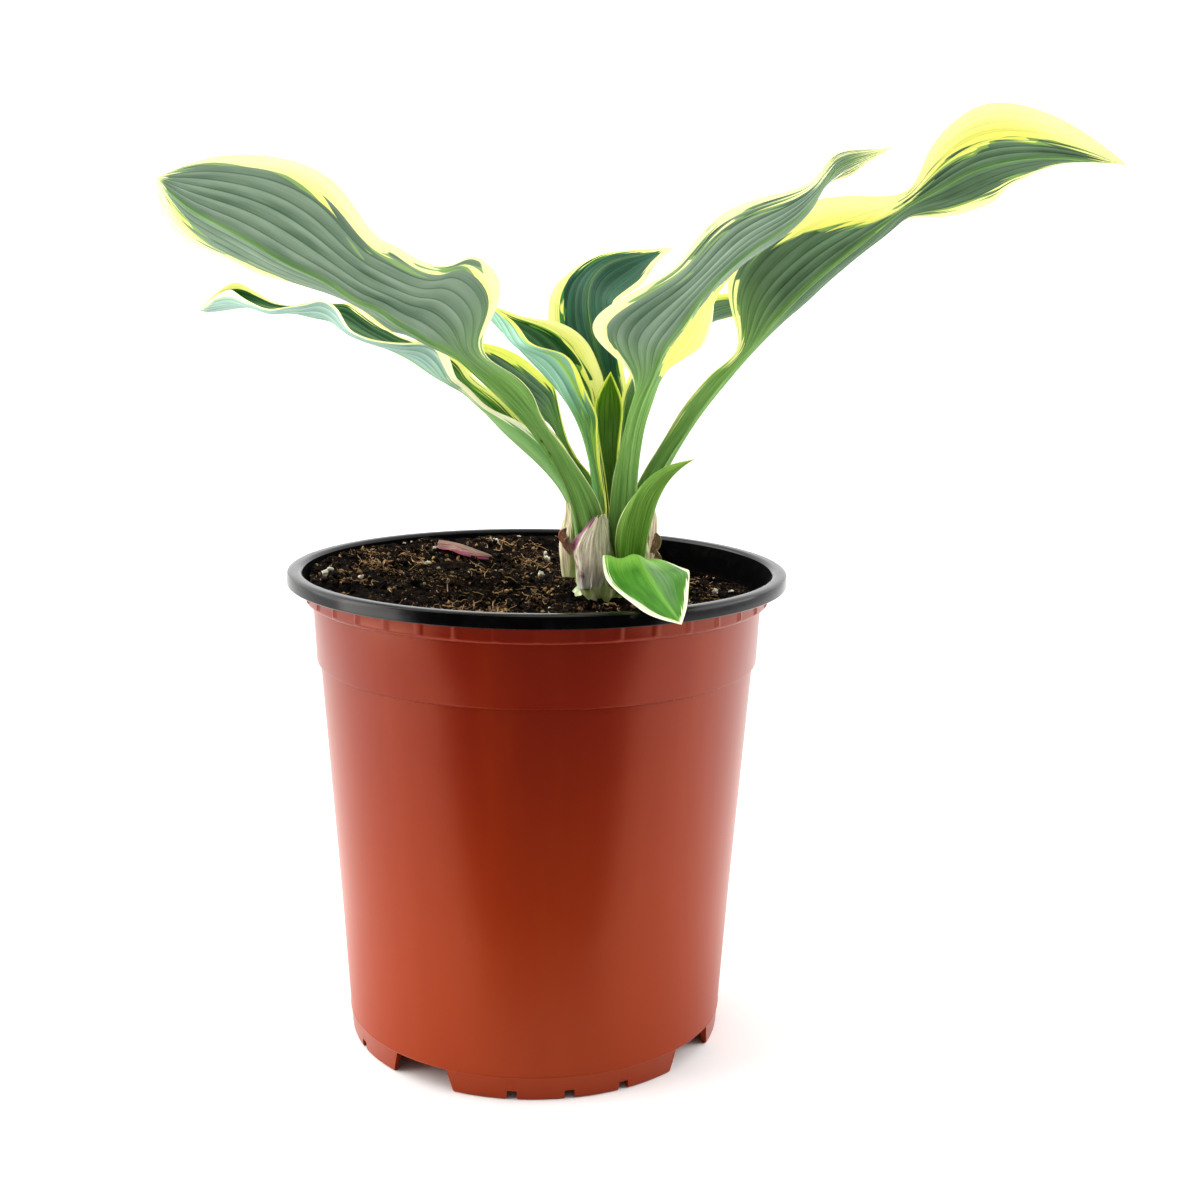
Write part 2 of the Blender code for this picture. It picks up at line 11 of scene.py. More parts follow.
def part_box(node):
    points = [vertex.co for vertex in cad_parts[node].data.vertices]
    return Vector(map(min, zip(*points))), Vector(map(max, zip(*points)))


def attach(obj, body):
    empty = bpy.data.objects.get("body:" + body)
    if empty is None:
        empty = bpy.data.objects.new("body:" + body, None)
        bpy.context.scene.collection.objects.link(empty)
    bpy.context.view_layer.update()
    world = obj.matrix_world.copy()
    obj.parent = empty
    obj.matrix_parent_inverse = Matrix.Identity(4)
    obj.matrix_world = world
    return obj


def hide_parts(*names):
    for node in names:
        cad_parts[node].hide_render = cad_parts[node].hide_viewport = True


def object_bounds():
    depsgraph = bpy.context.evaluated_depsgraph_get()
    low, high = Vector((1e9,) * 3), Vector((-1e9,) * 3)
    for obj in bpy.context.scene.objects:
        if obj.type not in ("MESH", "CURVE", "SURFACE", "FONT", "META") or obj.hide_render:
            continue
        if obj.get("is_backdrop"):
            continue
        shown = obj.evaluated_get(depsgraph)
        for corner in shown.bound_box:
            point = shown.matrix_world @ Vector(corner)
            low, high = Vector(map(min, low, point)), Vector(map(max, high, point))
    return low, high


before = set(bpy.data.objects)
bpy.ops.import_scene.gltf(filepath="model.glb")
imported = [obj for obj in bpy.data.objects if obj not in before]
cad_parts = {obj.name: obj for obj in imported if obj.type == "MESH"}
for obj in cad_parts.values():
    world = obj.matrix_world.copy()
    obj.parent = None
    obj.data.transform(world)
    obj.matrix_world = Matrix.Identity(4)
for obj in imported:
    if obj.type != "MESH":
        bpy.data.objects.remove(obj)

MM = 0.001
CAD_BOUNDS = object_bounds()
PLACES = random.Random(7)

# Lengths are in millimetres unless their comment says otherwise.

# Camera: where it stands, how it points in degrees, and its lens. The lights aim at AIM, in metres.
CAMERA_PLACE = (0, -523.5, 251.6)
CAMERA_PITCH = 11.21
CAMERA_YAW = 2.27
CAMERA_ROLL = 0.85
CAMERA_LENS = 47.76
SENSOR_WIDTH = 36
AIM = Vector((0, 0, 0.16))

# Pot, as in the CAD, except that its floor is raised on its feet by FOOT_LIFT
RIM_RADIUS = 82.5
RIM_INNER_RADIUS = 77.5
RIM_TOP = 159.5
RIM_BOTTOM = 155.2
COLLAR_RADIUS = 76.7
COLLAR_BOTTOM = 149.8
BAND_RADIUS = 74.2
RING_HEIGHT = 129.3
RING_RADIUS = 73.3
WALL_TOP_RADIUS = 72.1
FOOT_RADIUS = 63.4
WALL = 1.2
FLOOR = 1.6
FOOT_LIFT = 7.8
FEET = 4
FOOT_TURN = 55.0
ARCH_WIDTH = 25.0
ARCH_HEIGHT = 7.5
ARCH_TAPER = 0.8
ARCH_INNER_RADIUS = 56.0
NOTCH_STEP = 16.5
NOTCH_WIDTH = 3.8
NOTCH_HEIGHT = 3.0
SHARP_DEGREES = 40
POT_STEPS = 480
RIB_EVERY = 12
RIB_HEIGHT = 0.55

# Soil
GAP = 0.3
SOIL_TOP = 150.2
SOIL_BANK = 6.0
SOIL_BANK_WIDTH = 46.0
SOIL_BANK_TOWARDS = (-0.75, 0.66)
SOIL_DIP = 3.0
SOIL_DIP_CENTRE = (45.0, 38.0)
SOIL_DIP_WIDTH = 28.0
SOIL_RING_RADIUS = 70.5
SOIL_FOOT_RADIUS = 61.6
SOIL_STEPS = 300
SOIL_RINGS = 90
SOIL_CROWDING = 0.8
CROWN_X = 23
CROWN_CLEAR = (15, 17)
WALL_BAND = (66, 9)
HIGH_BAND = (153, 3)
SCATTER_RADIUS = 74.5
LEDGE_RADIUS = 71
LEDGE_COVERED = 151
LUMPS = 2200
BARK_LUMPS = 600
FIBRES = 640
FIBRE_STEPS = 6
FIBRE_REACH = 74
FIBRE_CLEAR = (13, 15)
TUFTS = 46
TUFT_SPREAD = 3
SMALL_PERLITE = 90

# Leaves and papery scales: how they are sampled, ruffled, pleated and thickened
TIP_SPREAD = 1.15
BLADE_FROM = 0.8
BLADE_FADE = 0.12
RUFFLED_WIDTH = 12
RUFFLE_LENGTH = 7
PLEATED_WIDTH = 18
KEEL_WIDTH = 1.5
PAPER_COLUMNS, PAPER_ROWS = 61, 90
PAPER_HALF = 0.14
TEAR = 3.0
FLAP_COLUMNS, FLAP_ROWS = 21, 30
FLAP_HALF = 0.12
FLAP_REACH = 1.5
FLAP_FACING = (0.2, 0.95, 0.25)

# Each leaf's stations from foot to tip: its midrib, left edge and right edge on one line, and the tip
# as one point. The stalk ends at station number "stalk"; channel and hollow are depths as a share of
# the half width.
LEAVES = {
    "leaf_upper_left": dict(stalk=5, channel=0.35, hollow=0.05, stations=(
        (16, -6, 156), (21, -3, 156), (18, 1, 156),
        (11, -13, 182), (20, -12, 181), (17, -4, 182),
        (-5, -23, 210), (0, -18, 212), (-2, -12, 214),
        (-20, -32, 225), (-10, -26, 225), (-18, -22, 228),
        (-27, -36, 231), (-17, -31, 235), (-31, -26, 233),
        (-33, -39, 234), (-12, -32, 250), (-37, -26, 235),
        (-38, -41, 237), (-19, -36, 259), (-42, -27, 237),
        (-43, -42, 240), (-26, -39, 257), (-47, -27, 237),
        (-47, -43, 243), (-33, -42, 257), (-52, -28, 240),
        (-54, -44, 246), (-41, -45, 261), (-58, -29, 246),
        (-60, -46, 250), (-47, -47, 264), (-67, -30, 249),
        (-74, -48, 257), (-58, -48, 278), (-83, -33, 253),
        (-88, -49, 265), (-76, -47, 286), (-99, -37, 259),
        (-100, -48, 271), (-94, -46, 286), (-109, -42, 267),
        (-111, -44, 280),
    )),
    "leaf_lower_left": dict(stalk=6, channel=0.3, hollow=0.08, stations=(
        (13, 4, 155), (15, 3, 156), (16, 9, 155),
        (10, 8, 180), (13, 7, 182), (14, 13, 181),
        (-13, 17, 204), (-9, 14, 207), (-8, 22, 208),
        (-21, 20, 212), (-19, 16, 212), (-16, 26, 215),
        (-26, 21, 216), (-24, 15, 217), (-23, 30, 220),
        (-32, 22, 219), (-28, 13, 221), (-25, 34, 225),
        (-37, 23, 222), (-30, 11, 227), (-29, 37, 229),
        (-43, 24, 226), (-35, 9, 232), (-37, 40, 231),
        (-49, 25, 229), (-42, 8, 232), (-46, 42, 232),
        (-56, 25, 232), (-49, 8, 232), (-53, 43, 235),
        (-62, 26, 235), (-56, 8, 233), (-59, 44, 238),
        (-66, 26, 237), (-62, 8, 236), (-64, 44, 242),
        (-71, 27, 239), (-66, 8, 242), (-68, 44, 244),
        (-76, 27, 240), (-71, 8, 245), (-74, 42, 244),
        (-81, 28, 241), (-76, 9, 244), (-80, 40, 244),
        (-86, 28, 242), (-82, 10, 243), (-85, 38, 243),
        (-91, 28, 242), (-88, 12, 242), (-91, 37, 244),
        (-96, 28, 243), (-93, 15, 243), (-95, 36, 246),
        (-101, 28, 243), (-99, 18, 246), (-100, 34, 249),
        (-107, 28, 242), (-104, 22, 248), (-105, 32, 250),
        (-116, 28, 241),
    )),
    "leaf_small_left": dict(stalk=5, channel=0.3, hollow=0.08, stations=(
        (19, 13, 156), (21, 11, 156), (21, 17, 156),
        (19, 13, 179), (21, 11, 180), (22, 16, 180),
        (14, 15, 189), (17, 12, 189), (16, 18, 189),
        (8, 16, 199), (10, 13, 199), (9, 20, 200),
        (4, 17, 206), (6, 13, 213), (3, 21, 207),
        (-3, 18, 212), (4, 13, 219), (-8, 21, 211),
        (-12, 19, 218), (-4, 14, 226), (-18, 22, 217),
        (-20, 20, 225), (-15, 16, 231), (-25, 22, 224),
        (-30, 20, 232),
    )),
    "leaf_centre_left": dict(stalk=4, channel=0.35, hollow=0.08, stations=(
        (21, 3, 156), (22, 1, 156), (22, 6, 156),
        (20, 2, 181), (22, -2, 182), (22, 8, 181),
        (17, 2, 197), (19, -5, 199), (21, 11, 198),
        (10, 2, 213), (18, -9, 211), (22, 14, 216),
        (3, 2, 222), (14, -13, 221), (20, 18, 224),
        (-4, 3, 229), (7, -15, 230), (15, 20, 233),
        (-10, 4, 235), (-3, -12, 233), (5, 20, 239),
        (-15, 5, 240), (-8, -4, 239), (-5, 15, 241),
        (-20, 8, 246),
    )),
    "leaf_back": dict(stalk=4, channel=0.25, hollow=0.06, stations=(
        (26, 22, 156), (24, 19, 156), (28, 19, 156),
        (25, 23, 179), (23, 19, 179), (27, 19, 179),
        (25, 25, 199), (22, 21, 199), (28, 21, 199),
        (25, 29, 211), (21, 25, 212), (29, 24, 214),
        (22, 33, 221), (17, 29, 224), (29, 25, 222),
        (19, 38, 232), (6, 40, 233), (27, 27, 231),
        (17, 44, 243), (3, 50, 242), (25, 28, 240),
        (18, 50, 252), (7, 58, 253), (26, 30, 246),
        (25, 56, 259), (21, 62, 262), (35, 38, 252),
        (36, 60, 262), (34, 64, 264), (42, 50, 260),
        (48, 62, 265),
    )),
    "leaf_centre_right": dict(stalk=5, channel=0.3, hollow=0.06, stations=(
        (28, -9, 156), (30, -5, 156), (26, -5, 156),
        (28, -14, 183), (30, -7, 184), (23, -8, 182),
        (29, -20, 203), (32, -11, 204), (27, -14, 203),
        (32, -26, 217), (35, -14, 217), (30, -19, 217),
        (35, -29, 225), (40, -12, 228), (27, -25, 226),
        (38, -31, 233), (52, -6, 232), (18, -30, 234),
        (43, -33, 240), (56, -6, 246), (18, -34, 243),
        (48, -35, 248), (58, -8, 254), (34, -40, 253),
        (56, -37, 257), (63, -20, 261), (43, -44, 261),
        (66, -38, 265), (75, -26, 269), (53, -46, 272),
        (76, -38, 272), (84, -28, 279), (67, -44, 278),
        (83, -38, 281), (86, -32, 283), (80, -42, 283),
        (88, -36, 286.5), (91, -35, 284), (86.5, -36, 290),
        (96, -35, 290.2), (97, -35, 288), (95.5, -35, 292.3),
        (105, -34, 293),
    )),
    "leaf_right": dict(stalk=6, channel=0.3, hollow=0.06, stations=(
        (34, 4, 156), (36, 9, 156), (33, 8, 156),
        (35, 5, 178), (36, 12, 178), (31, 8, 180),
        (42, 6, 194), (43, 14, 196), (38, 9, 195),
        (51, 6, 208), (52, 15, 212), (47, 9, 210),
        (61, 6, 222), (64, 16, 225), (58, 8, 224),
        (69, 4, 232), (75, 17, 237), (65, 4, 234),
        (77, 1, 242), (85, 16, 246), (61, 2, 252),
        (86, -3, 252), (95, 13, 256), (69, -2, 268),
        (97, -7, 262), (105, 8, 265), (84, -8, 278),
        (106, -11, 270), (115, 2, 272), (100, -14, 280),
        (114, -14, 277), (119, -6, 274), (114, -17, 282),
        (123, -15, 282), (130, -8, 275), (120, -20, 294),
        (134, -15, 288), (142, -8, 278), (132, -22, 306),
        (148, -15, 292), (149, -8, 284), (149, -21, 307),
        (164, -13, 293), (163, -8, 291), (167, -16, 301),
        (185, -10, 291),
    )),
    "leaf_back_right": dict(stalk=4, channel=0.3, hollow=0.06, stations=(
        (30, 12, 156), (32, 15, 156), (29, 15, 156),
        (28, 10, 180), (30, 15, 181), (27, 13, 180),
        (30, 8, 201), (33, 14, 201), (27, 11, 201),
        (32, 8, 212), (37, 18, 213), (28, 12, 215),
        (36, 10, 223), (42, 24, 225), (31, 14, 224),
        (43, 14, 232), (50, 30, 232), (38, 16, 237),
        (52, 20, 240), (58, 34, 238), (49, 20, 246),
        (64, 28, 245), (69, 38, 242), (62, 26, 249),
        (79, 34, 247), (82, 42, 245), (78, 34, 251),
        (94, 42, 254),
    )),
    "leaf_young_spear": dict(stalk=4, channel=0.3, hollow=0.12, stations=(
        (26, 9, 156), (24, 7, 156), (28, 7, 156),
        (25, 6, 181), (23, 3, 181), (27, 3, 181),
        (23, 3, 198), (20, -1, 198), (26, -1, 198),
        (23, 2, 208), (18, -3, 210), (27, -3, 210),
        (23, 0, 217), (19, -4, 217), (26, -4, 217),
        (23, -3, 224),
    )),
    "bract_front_right": dict(stalk=4, channel=0.3, hollow=0.1, stations=(
        (30, -14, 156), (33, -10, 156), (27, -12, 156),
        (31, -21, 177), (36, -15, 178), (26, -18, 178),
        (34, -25, 187), (39, -18, 187), (32, -20, 188),
        (40, -28, 194), (43, -23, 194), (39, -24, 195),
        (49, -31, 199),
    )),
    "leaf_over_rim": dict(stalk=2, channel=0.1, hollow=0.1, stations=(
        (28, -17, 157), (31, -17, 157), (25, -18, 157),
        (30, -25, 167), (36, -21, 165), (21, -26, 167),
        (32, -40, 167), (44, -32, 165), (20, -40, 166),
        (34, -58, 165), (46, -48, 166), (22, -56, 163),
        (36, -74, 163), (44, -67, 164), (28, -75, 161),
        (38, -84, 161), (42, -83, 162), (33, -86, 160),
        (40, -91, 159),
    )),
}

SCALES = {
    "sheath_front": dict(stalk=3, channel=0.2, hollow=0.1, stations=(
        (17, -18, 155), (20, -15, 155), (13, -14, 155),
        (17, -20, 163), (23, -13, 164), (12, -11, 163),
        (17, -20, 170), (23, -14, 169), (11, -10, 168),
        (18, -20, 175), (22, -15, 175), (14, -14, 173),
        (20, -19, 181),
    )),
    "sheath_left": dict(stalk=3, channel=0.2, hollow=0.1, stations=(
        (10, -3, 156), (12, -2, 156), (9, 1, 156),
        (9, -3, 168), (12, -2, 168), (8, 3, 168),
        (10, 0, 176), (11, -2, 177), (9, 4, 177),
        (9, 3, 182),
    )),
    "sheath_right": dict(stalk=3, channel=0.2, hollow=0.1, stations=(
        (36, -3, 156), (37, 1, 156), (34, -5, 156),
        (37, -2, 168), (39, 4, 168), (35, -5, 168),
        (38, 0, 176), (39, 4, 176), (36, -2, 177),
        (38, 2, 180),
    )),
    "scale_brown": dict(stalk=2, channel=0.2, hollow=0.2, stations=(
        (26, -21, 156), (30, -20, 156), (23, -19, 156),
        (27, -23, 160), (31, -22, 160), (24, -21, 160),
        (29, -25, 162),
    )),
    "bract_fallen": dict(stalk=1, channel=0.2, hollow=0.2, stations=(
        (-36, 48, 160), (-34, 51, 158), (-38, 45, 158),
        (-29, 41, 160), (-26, 44, 158), (-32, 38, 158),
        (-22, 33, 159), (-19, 35, 157), (-24, 30, 157),
        (-15, 27, 157),
    )),
}


def natural_spline(knots, values, where):
    """A natural cubic spline through values at knots, read at each place in where."""
    count = len(knots)
    gaps = np.diff(knots)
    matrix = np.eye(count)
    right = np.zeros_like(values)
    for i in range(1, count - 1):
        matrix[i, i - 1 : i + 2] = gaps[i - 1], 2 * (gaps[i - 1] + gaps[i]), gaps[i]
        rise = (values[i + 1] - values[i]) / gaps[i]
        right[i] = 6 * (rise - (values[i] - values[i - 1]) / gaps[i - 1])
    bend = np.linalg.solve(matrix, right)
    k = np.clip(np.searchsorted(knots, where, side="right") - 1, 0, count - 2)
    gap = gaps[k][:, None]
    after = (knots[k + 1] - where)[:, None]
    before = (where - knots[k])[:, None]
    curved = (bend[k] * after**3 + bend[k + 1] * before**3) / (6 * gap)
    start = (values[k] / gap - bend[k] * gap / 6) * after
    end = (values[k + 1] / gap - bend[k + 1] * gap / 6) * before
    return curved + start + end


def wave(x, seed):
    """A smooth, uneven wave of x between about -1 and 1."""
    return 0.6 * np.sin(x + seed) + 0.4 * np.sin(2.3 * x + 1.7 * seed)


def unit(vectors):
    return vectors / np.maximum(np.linalg.norm(vectors, axis=-1, keepdims=True), 1e-9)


def leaf_grid(spec, columns, rows, roundness=0.4, end=1.0):
    """The leaf's middle surface in millimetres, row by row from foot to tip, left to right across."""
    points = np.array(spec["stations"], float)
    stations = np.concatenate([points[:-1].reshape(-1, 3, 3), [[points[-1]] * 3]])
    steps = np.linalg.norm(np.diff(stations[:, 0], axis=0), axis=1)
    length = steps.sum()
    knots = np.concatenate([[0], np.cumsum(steps)]) / length
    along = end * (1 - (1 - np.linspace(0, 1, rows)) ** TIP_SPREAD)
    even = np.linspace(-1, 1, columns)
    across = 0.5 * np.sin(even * math.pi / 2) + 0.5 * even
    middle, left, right = (natural_spline(knots, stations[:, line], along) for line in range(3))
    tangent = unit(np.gradient(middle, axis=0))[:, None]
    stalky = np.clip(1 - np.arange(len(stations)) / spec["stalk"], 0, 1)
    depth = spec["channel"] * stalky + spec["hollow"]
    depth[-1] = 0
    sag = np.interp(along, knots, depth)[:, None, None]
    side = np.where(across < 0, -1.0, 1.0)[None, :, None]
    share = np.abs(across)[None, :, None]
    half = np.where(side < 0, (left - middle)[:, None], (right - middle)[:, None])
    width = np.linalg.norm(half, axis=2, keepdims=True)
    upper = unit(np.cross(side * half, tangent))
    straight = middle[:, None] + half * share
    a = across[None, :, None]
    rounded = left[:, None] * a * (a - 1) / 2 + middle[:, None] * (1 - a**2)
    rounded = rounded + right[:, None] * a * (a + 1) / 2
    place = straight * (1 - roundness) + rounded * roundness
    place = place - upper * sag * width * np.sin(math.pi * share) ** 2
    blade = np.clip((along - knots[spec["stalk"]] * BLADE_FROM) / BLADE_FADE, 0, 1)
    return dict(
        place=place, across=across, along=along, width=width[..., 0], length=length,
        knots=knots, tangent=tangent, blade=blade,
    )


def normals(place):
    return unit(np.cross(np.gradient(place, axis=1), np.gradient(place, axis=0)))


def sheet_mesh(name, top, bottom, values):
    """A closed thin sheet from a top and a bottom grid, with point attributes from values."""
    rows, columns = top.shape[:2]
    mesh = bpy.data.meshes.new(name)
    points = np.concatenate([top.reshape(-1, 3), bottom.reshape(-1, 3)]) * MM
    cell = (np.arange(rows - 1)[:, None] * columns + np.arange(columns - 1)).reshape(-1)
    upper = np.stack([cell, cell + 1, cell + columns + 1, cell + columns], axis=1)
    lower = upper[:, ::-1] + rows * columns
    ring = np.concatenate([
        np.arange(columns),
        np.arange(1, rows) * columns + columns - 1,
        (rows - 1) * columns + np.arange(columns - 2, -1, -1),
        np.arange(rows - 2, 0, -1) * columns,
    ])
    after = np.roll(ring, -1)
    rim = np.stack([after, ring, ring + rows * columns, after + rows * columns], axis=1)
    faces = np.concatenate([upper, lower, rim])
    mesh.from_pydata(points.tolist(), [], faces.tolist())
    slots = np.concatenate([np.zeros(len(upper)), np.ones(len(lower)), np.zeros(len(rim))]).astype(int)
    mesh.polygons.foreach_set("material_index", slots)
    mesh.polygons.foreach_set("use_smooth", np.ones(len(faces), bool))
    for key, value in values.items():
        made = mesh.attributes.new(key, "FLOAT", "POINT")
        flat = (value * np.ones((rows, columns))).reshape(-1)
        made.data.foreach_set("value", np.concatenate([flat, flat]))
    mesh.validate()
    return mesh


def new_object(name, data):
    made = bpy.data.objects.new(name, data)
    bpy.context.scene.collection.objects.link(made)
    return made


def add_piece(name, mesh, materials, replaced=()):
    piece = new_object(name, mesh)
    for material in materials:
        mesh.materials.append(material)
    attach(piece, "root")
    if replaced:
        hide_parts(*replaced)
    return piece


class Shader:
    """Short names for building a Principled material, or the world, out of nodes."""

    def __init__(self, name, world=None):
        self.material = world or bpy.data.materials.new(name)
        self.material.use_nodes = True
        self.tree = self.material.node_tree

    @property
    def principled(self):
        return self.tree.nodes["Principled BSDF"]

    def node(self, kind, **settings):
        made = self.tree.nodes.new("ShaderNode" + kind)
        for key, value in settings.items():
            setattr(made, key, value)
        return made

    def link(self, value, socket):
        if isinstance(value, bpy.types.NodeSocket):
            self.tree.links.new(value, socket)
        else:
            socket.default_value = value

    def fed(self, node, *values, **named):
        """The first output of a node, after feeding its inputs in order or by name."""
        for value, socket in zip(values, node.inputs):
            self.link(value, socket)
        for key, value in named.items():
            self.link(value, node.inputs[key.replace("_", " ")])
        return node.outputs[0]

    def set(self, **values):
        self.fed(self.principled, **values)

    def attribute(self, name):
        return self.node("Attribute", attribute_name=name).outputs["Fac"]

    def math(self, operation, first, second=0.0):
        return self.fed(self.node("Math", operation=operation), first, second)

    def add(self, first, second):
        return self.math("ADD", first, second)

    def times(self, value, factor, plus=0.0):
        return self.fed(self.node("Math", operation="MULTIPLY_ADD"), value, factor, plus)

    def mix(self, factor, first, second):
        made = self.node("Mix", data_type="RGBA")
        for value, place in ((factor, 0), (first, 6), (second, 7)):
            self.link(value, made.inputs[place])
        return made.outputs[2]

    def ramp(self, value, low, high):
        return self.fed(self.node("MapRange", interpolation_type="SMOOTHSTEP"), value, low, high)

    def vector(self, x, y, z):
        return self.fed(self.node("CombineXYZ"), x, y, z)

    def noise(self, vector, scale, detail=3.0, roughness=0.55):
        made = self.node("TexNoise")
        return self.fed(made, vector, Scale=scale, Detail=detail, Roughness=roughness)

    def axis(self, letter, source="Object"):
        split = self.node("SeparateXYZ")
        self.fed(split, self.node("TexCoord").outputs[source])
        return split.outputs[letter]

    def place(self, stretch=(1, 1, 1)):
        made = self.node("Mapping")
        return self.fed(made, self.node("TexCoord").outputs["Object"], Scale=stretch)

    def bump(self, height, distance, strength=1.0):
        made = self.node("Bump")
        self.set(Normal=self.fed(made, Height=height, Distance=distance, Strength=strength))


def colour(hexed):
    """A linear colour from a screen colour written as six hexadecimal digits."""
    parts = [int(hexed[i : i + 2], 16) / 255 for i in (0, 2, 4)]
    return (*(p / 12.92 if p < 0.04 else ((p + 0.055) / 1.055) ** 2.4 for p in parts), 1)


def leaf_material(name, colours, seed, streaks, pleat_shading, gloss):
    """Leaf skin: pleats painted from dark to light green as their shade and light, painted shade along the
    vein creases, flame-shaped streaks into the margin, and a plain stalk.
    """
    dark, light, half_tone, stalk, yellow, cream = (colour(c) for c in colours)
    stalk_light = colour("9CBF74")
    s = Shader(name)
    # The leaf is cut into cells across its veins, and each cell pushes its own slanted streak past the
    # margin's edge: "ragged" is above 0 in the margin, and "paler" reaches a little further in.
    inside, edge = s.attribute("inside"), s.attribute("edge")
    veins, along, blade = s.attribute("veins"), s.attribute("along_cm"), s.attribute("blade")
    flow = s.noise(s.vector(veins, s.times(along, 0.35), seed), 0.5, 2)
    cells = s.times(veins, 2.0, flow)
    cell, part = s.math("FLOOR", cells), s.math("FRACT", cells)
    oblique = s.times(part, 0.45, s.times(along, 0.6))
    flame = s.noise(s.vector(s.times(cell, 3.71), oblique, seed), 1.0, 1)
    second = s.noise(s.vector(s.times(cell, 5.13), oblique, seed + 9), 1.0, 1)
    slant = s.math("SUBTRACT", part, 0.5)
    ragged = s.add(s.add(edge, slant), s.times(s.math("SUBTRACT", flame, 0.5), streaks))
    paler = s.add(ragged, s.times(s.math("SUBTRACT", second, 0.42), streaks))
    # Painted shade and light: across each pleat the green runs from dark at one crease to light at the next,
    # mixed with a broad random tone.
    pleat = s.math("FRACT", s.math("ABSOLUTE", veins))
    crease_shade_mask = s.ramp(s.math("ABSOLUTE", s.math("SUBTRACT", pleat, 0.5)), 0.4, 0.5)
    fine = s.noise(s.vector(s.times(veins, 6.0), s.times(along, 0.5), seed), 1.0, 3)
    broad = s.noise(s.vector(s.times(veins, 0.6), s.times(along, 0.4), seed + 4), 1.0, 2)
    pleat_shade_and_tone = s.add(s.times(pleat, pleat_shading), s.times(broad, 1.3, -0.4))
    green = s.mix(pleat_shade_and_tone, dark, light)
    green = s.mix(s.times(s.ramp(fine, 0.45, 0.75), 0.25), green, light)
    # Painted shade: the green darkens along each vein crease.
    green = s.mix(s.times(crease_shade_mask, 0.6), green, dark)
    stem = s.mix(s.times(s.ramp(fine, 0.35, 0.7), 0.6), stalk, stalk_light)
    body = s.mix(blade, stem, green)
    body = s.mix(s.times(s.attribute("rib"), 0.7), body, stem)
    margin = s.mix(s.ramp(inside, 1.0, 9.0), cream, yellow)
    # Fine green streaks in the margin, and painted shade along its vein creases.
    margin = s.mix(s.times(s.ramp(fine, 0.45, 0.75), 0.2, s.times(crease_shade_mask, 0.12)), margin, half_tone)
    full = s.ramp(ragged, -0.12, 0.12)
    skin = s.mix(s.times(s.ramp(paler, -0.12, 0.12), 0.75), body, half_tone)
    skin = s.mix(full, skin, margin)
    lip = s.ramp(s.add(inside, blade), 0.28, 0.5)
    s.set(
        Base_Color=s.mix(lip, margin, skin),
        Roughness=gloss,
        Subsurface_Weight=s.times(full, 0.45, 0.12),
        Subsurface_Radius=(0.8, 1.0, 0.3),
        Subsurface_Scale=0.0012,
        Specular_IOR_Level=0.22,
    )
    s.bump(s.times(crease_shade_mask, 0.5, s.times(fine, 0.5)), 0.0003, 0.6)
    return s.material


def margin_width(grid, look):
    """How wide the pale margin is on each side, all along the leaf."""
    cream = np.array([np.broadcast_to(width, 2) for width in look["cream"]], float)
    left, right = (np.interp(grid["along"], grid["knots"], side)[:, None] for side in cream.T)
    return np.where(grid["across"] < 0, left, right)


def leaf_piece(name, spec, look, seed):
    """One fine leaf with pleated veins, standing for its CAD node."""
    grid = leaf_grid(spec, look["columns"], look["rows"], look["roundness"])
    across, along = grid["across"][None], grid["along"][:, None]
    width, blade = grid["width"], grid["blade"][:, None]
    outwards = np.abs(across)
    normal = normals(grid["place"])
    ruffle = look["ruffle"] * np.clip(width / RUFFLED_WIDTH, 0, 1) * outwards**3
    ruffle = ruffle * wave(along * grid["length"] / RUFFLE_LENGTH, np.sign(across) + 2)
    veins = across * look["veins"]
    crease = np.abs(veins - np.round(veins)) * 2
    taper = np.clip((1 - outwards) * 4, 0, 1)
    pleats = look["pleat"] * blade * np.clip(width / PLEATED_WIDTH, 0, 1) * taper
    pleats = pleats * np.clip((1 - along) * 8, 0, 1) * (np.sqrt(crease + 0.02) - 0.6)
    base = grid["place"] + normal * ruffle[..., None] + normal * pleats[..., None]
    slim = np.clip(width / 4, 0.2, 1)
    half = look["thickness"] / 2 * np.clip(taper + 0.35, 0, 1) * slim
    keel = look["keel"] * np.exp(-((outwards * width / KEEL_WIDTH) ** 2)) * taper * slim**2
    inside = (1 - outwards) * width
    rib_width = 1.8 * (1 - along) + 0.3
    values = dict(
        inside=inside,
        edge=margin_width(grid, look) - inside,
        veins=veins,
        along_cm=along * grid["length"] / 10,
        blade=blade,
        rib=np.exp(-((outwards * width / rib_width) ** 2)),
    )
    top, bottom = base + normal * half[..., None], base - normal * (half + keel)[..., None]
    pattern_and_shading = seed, look["streaks"], look["pleat_shading"]
    skins = [
        leaf_material(name + "_upper", look["upper"], *pattern_and_shading, look["gloss"]),
        leaf_material(name + "_under", look["under"], *pattern_and_shading, 0.6),
    ]
    mesh = sheet_mesh(name, top, bottom, values)
    return add_piece(name + "_fine", mesh, skins, (name,))


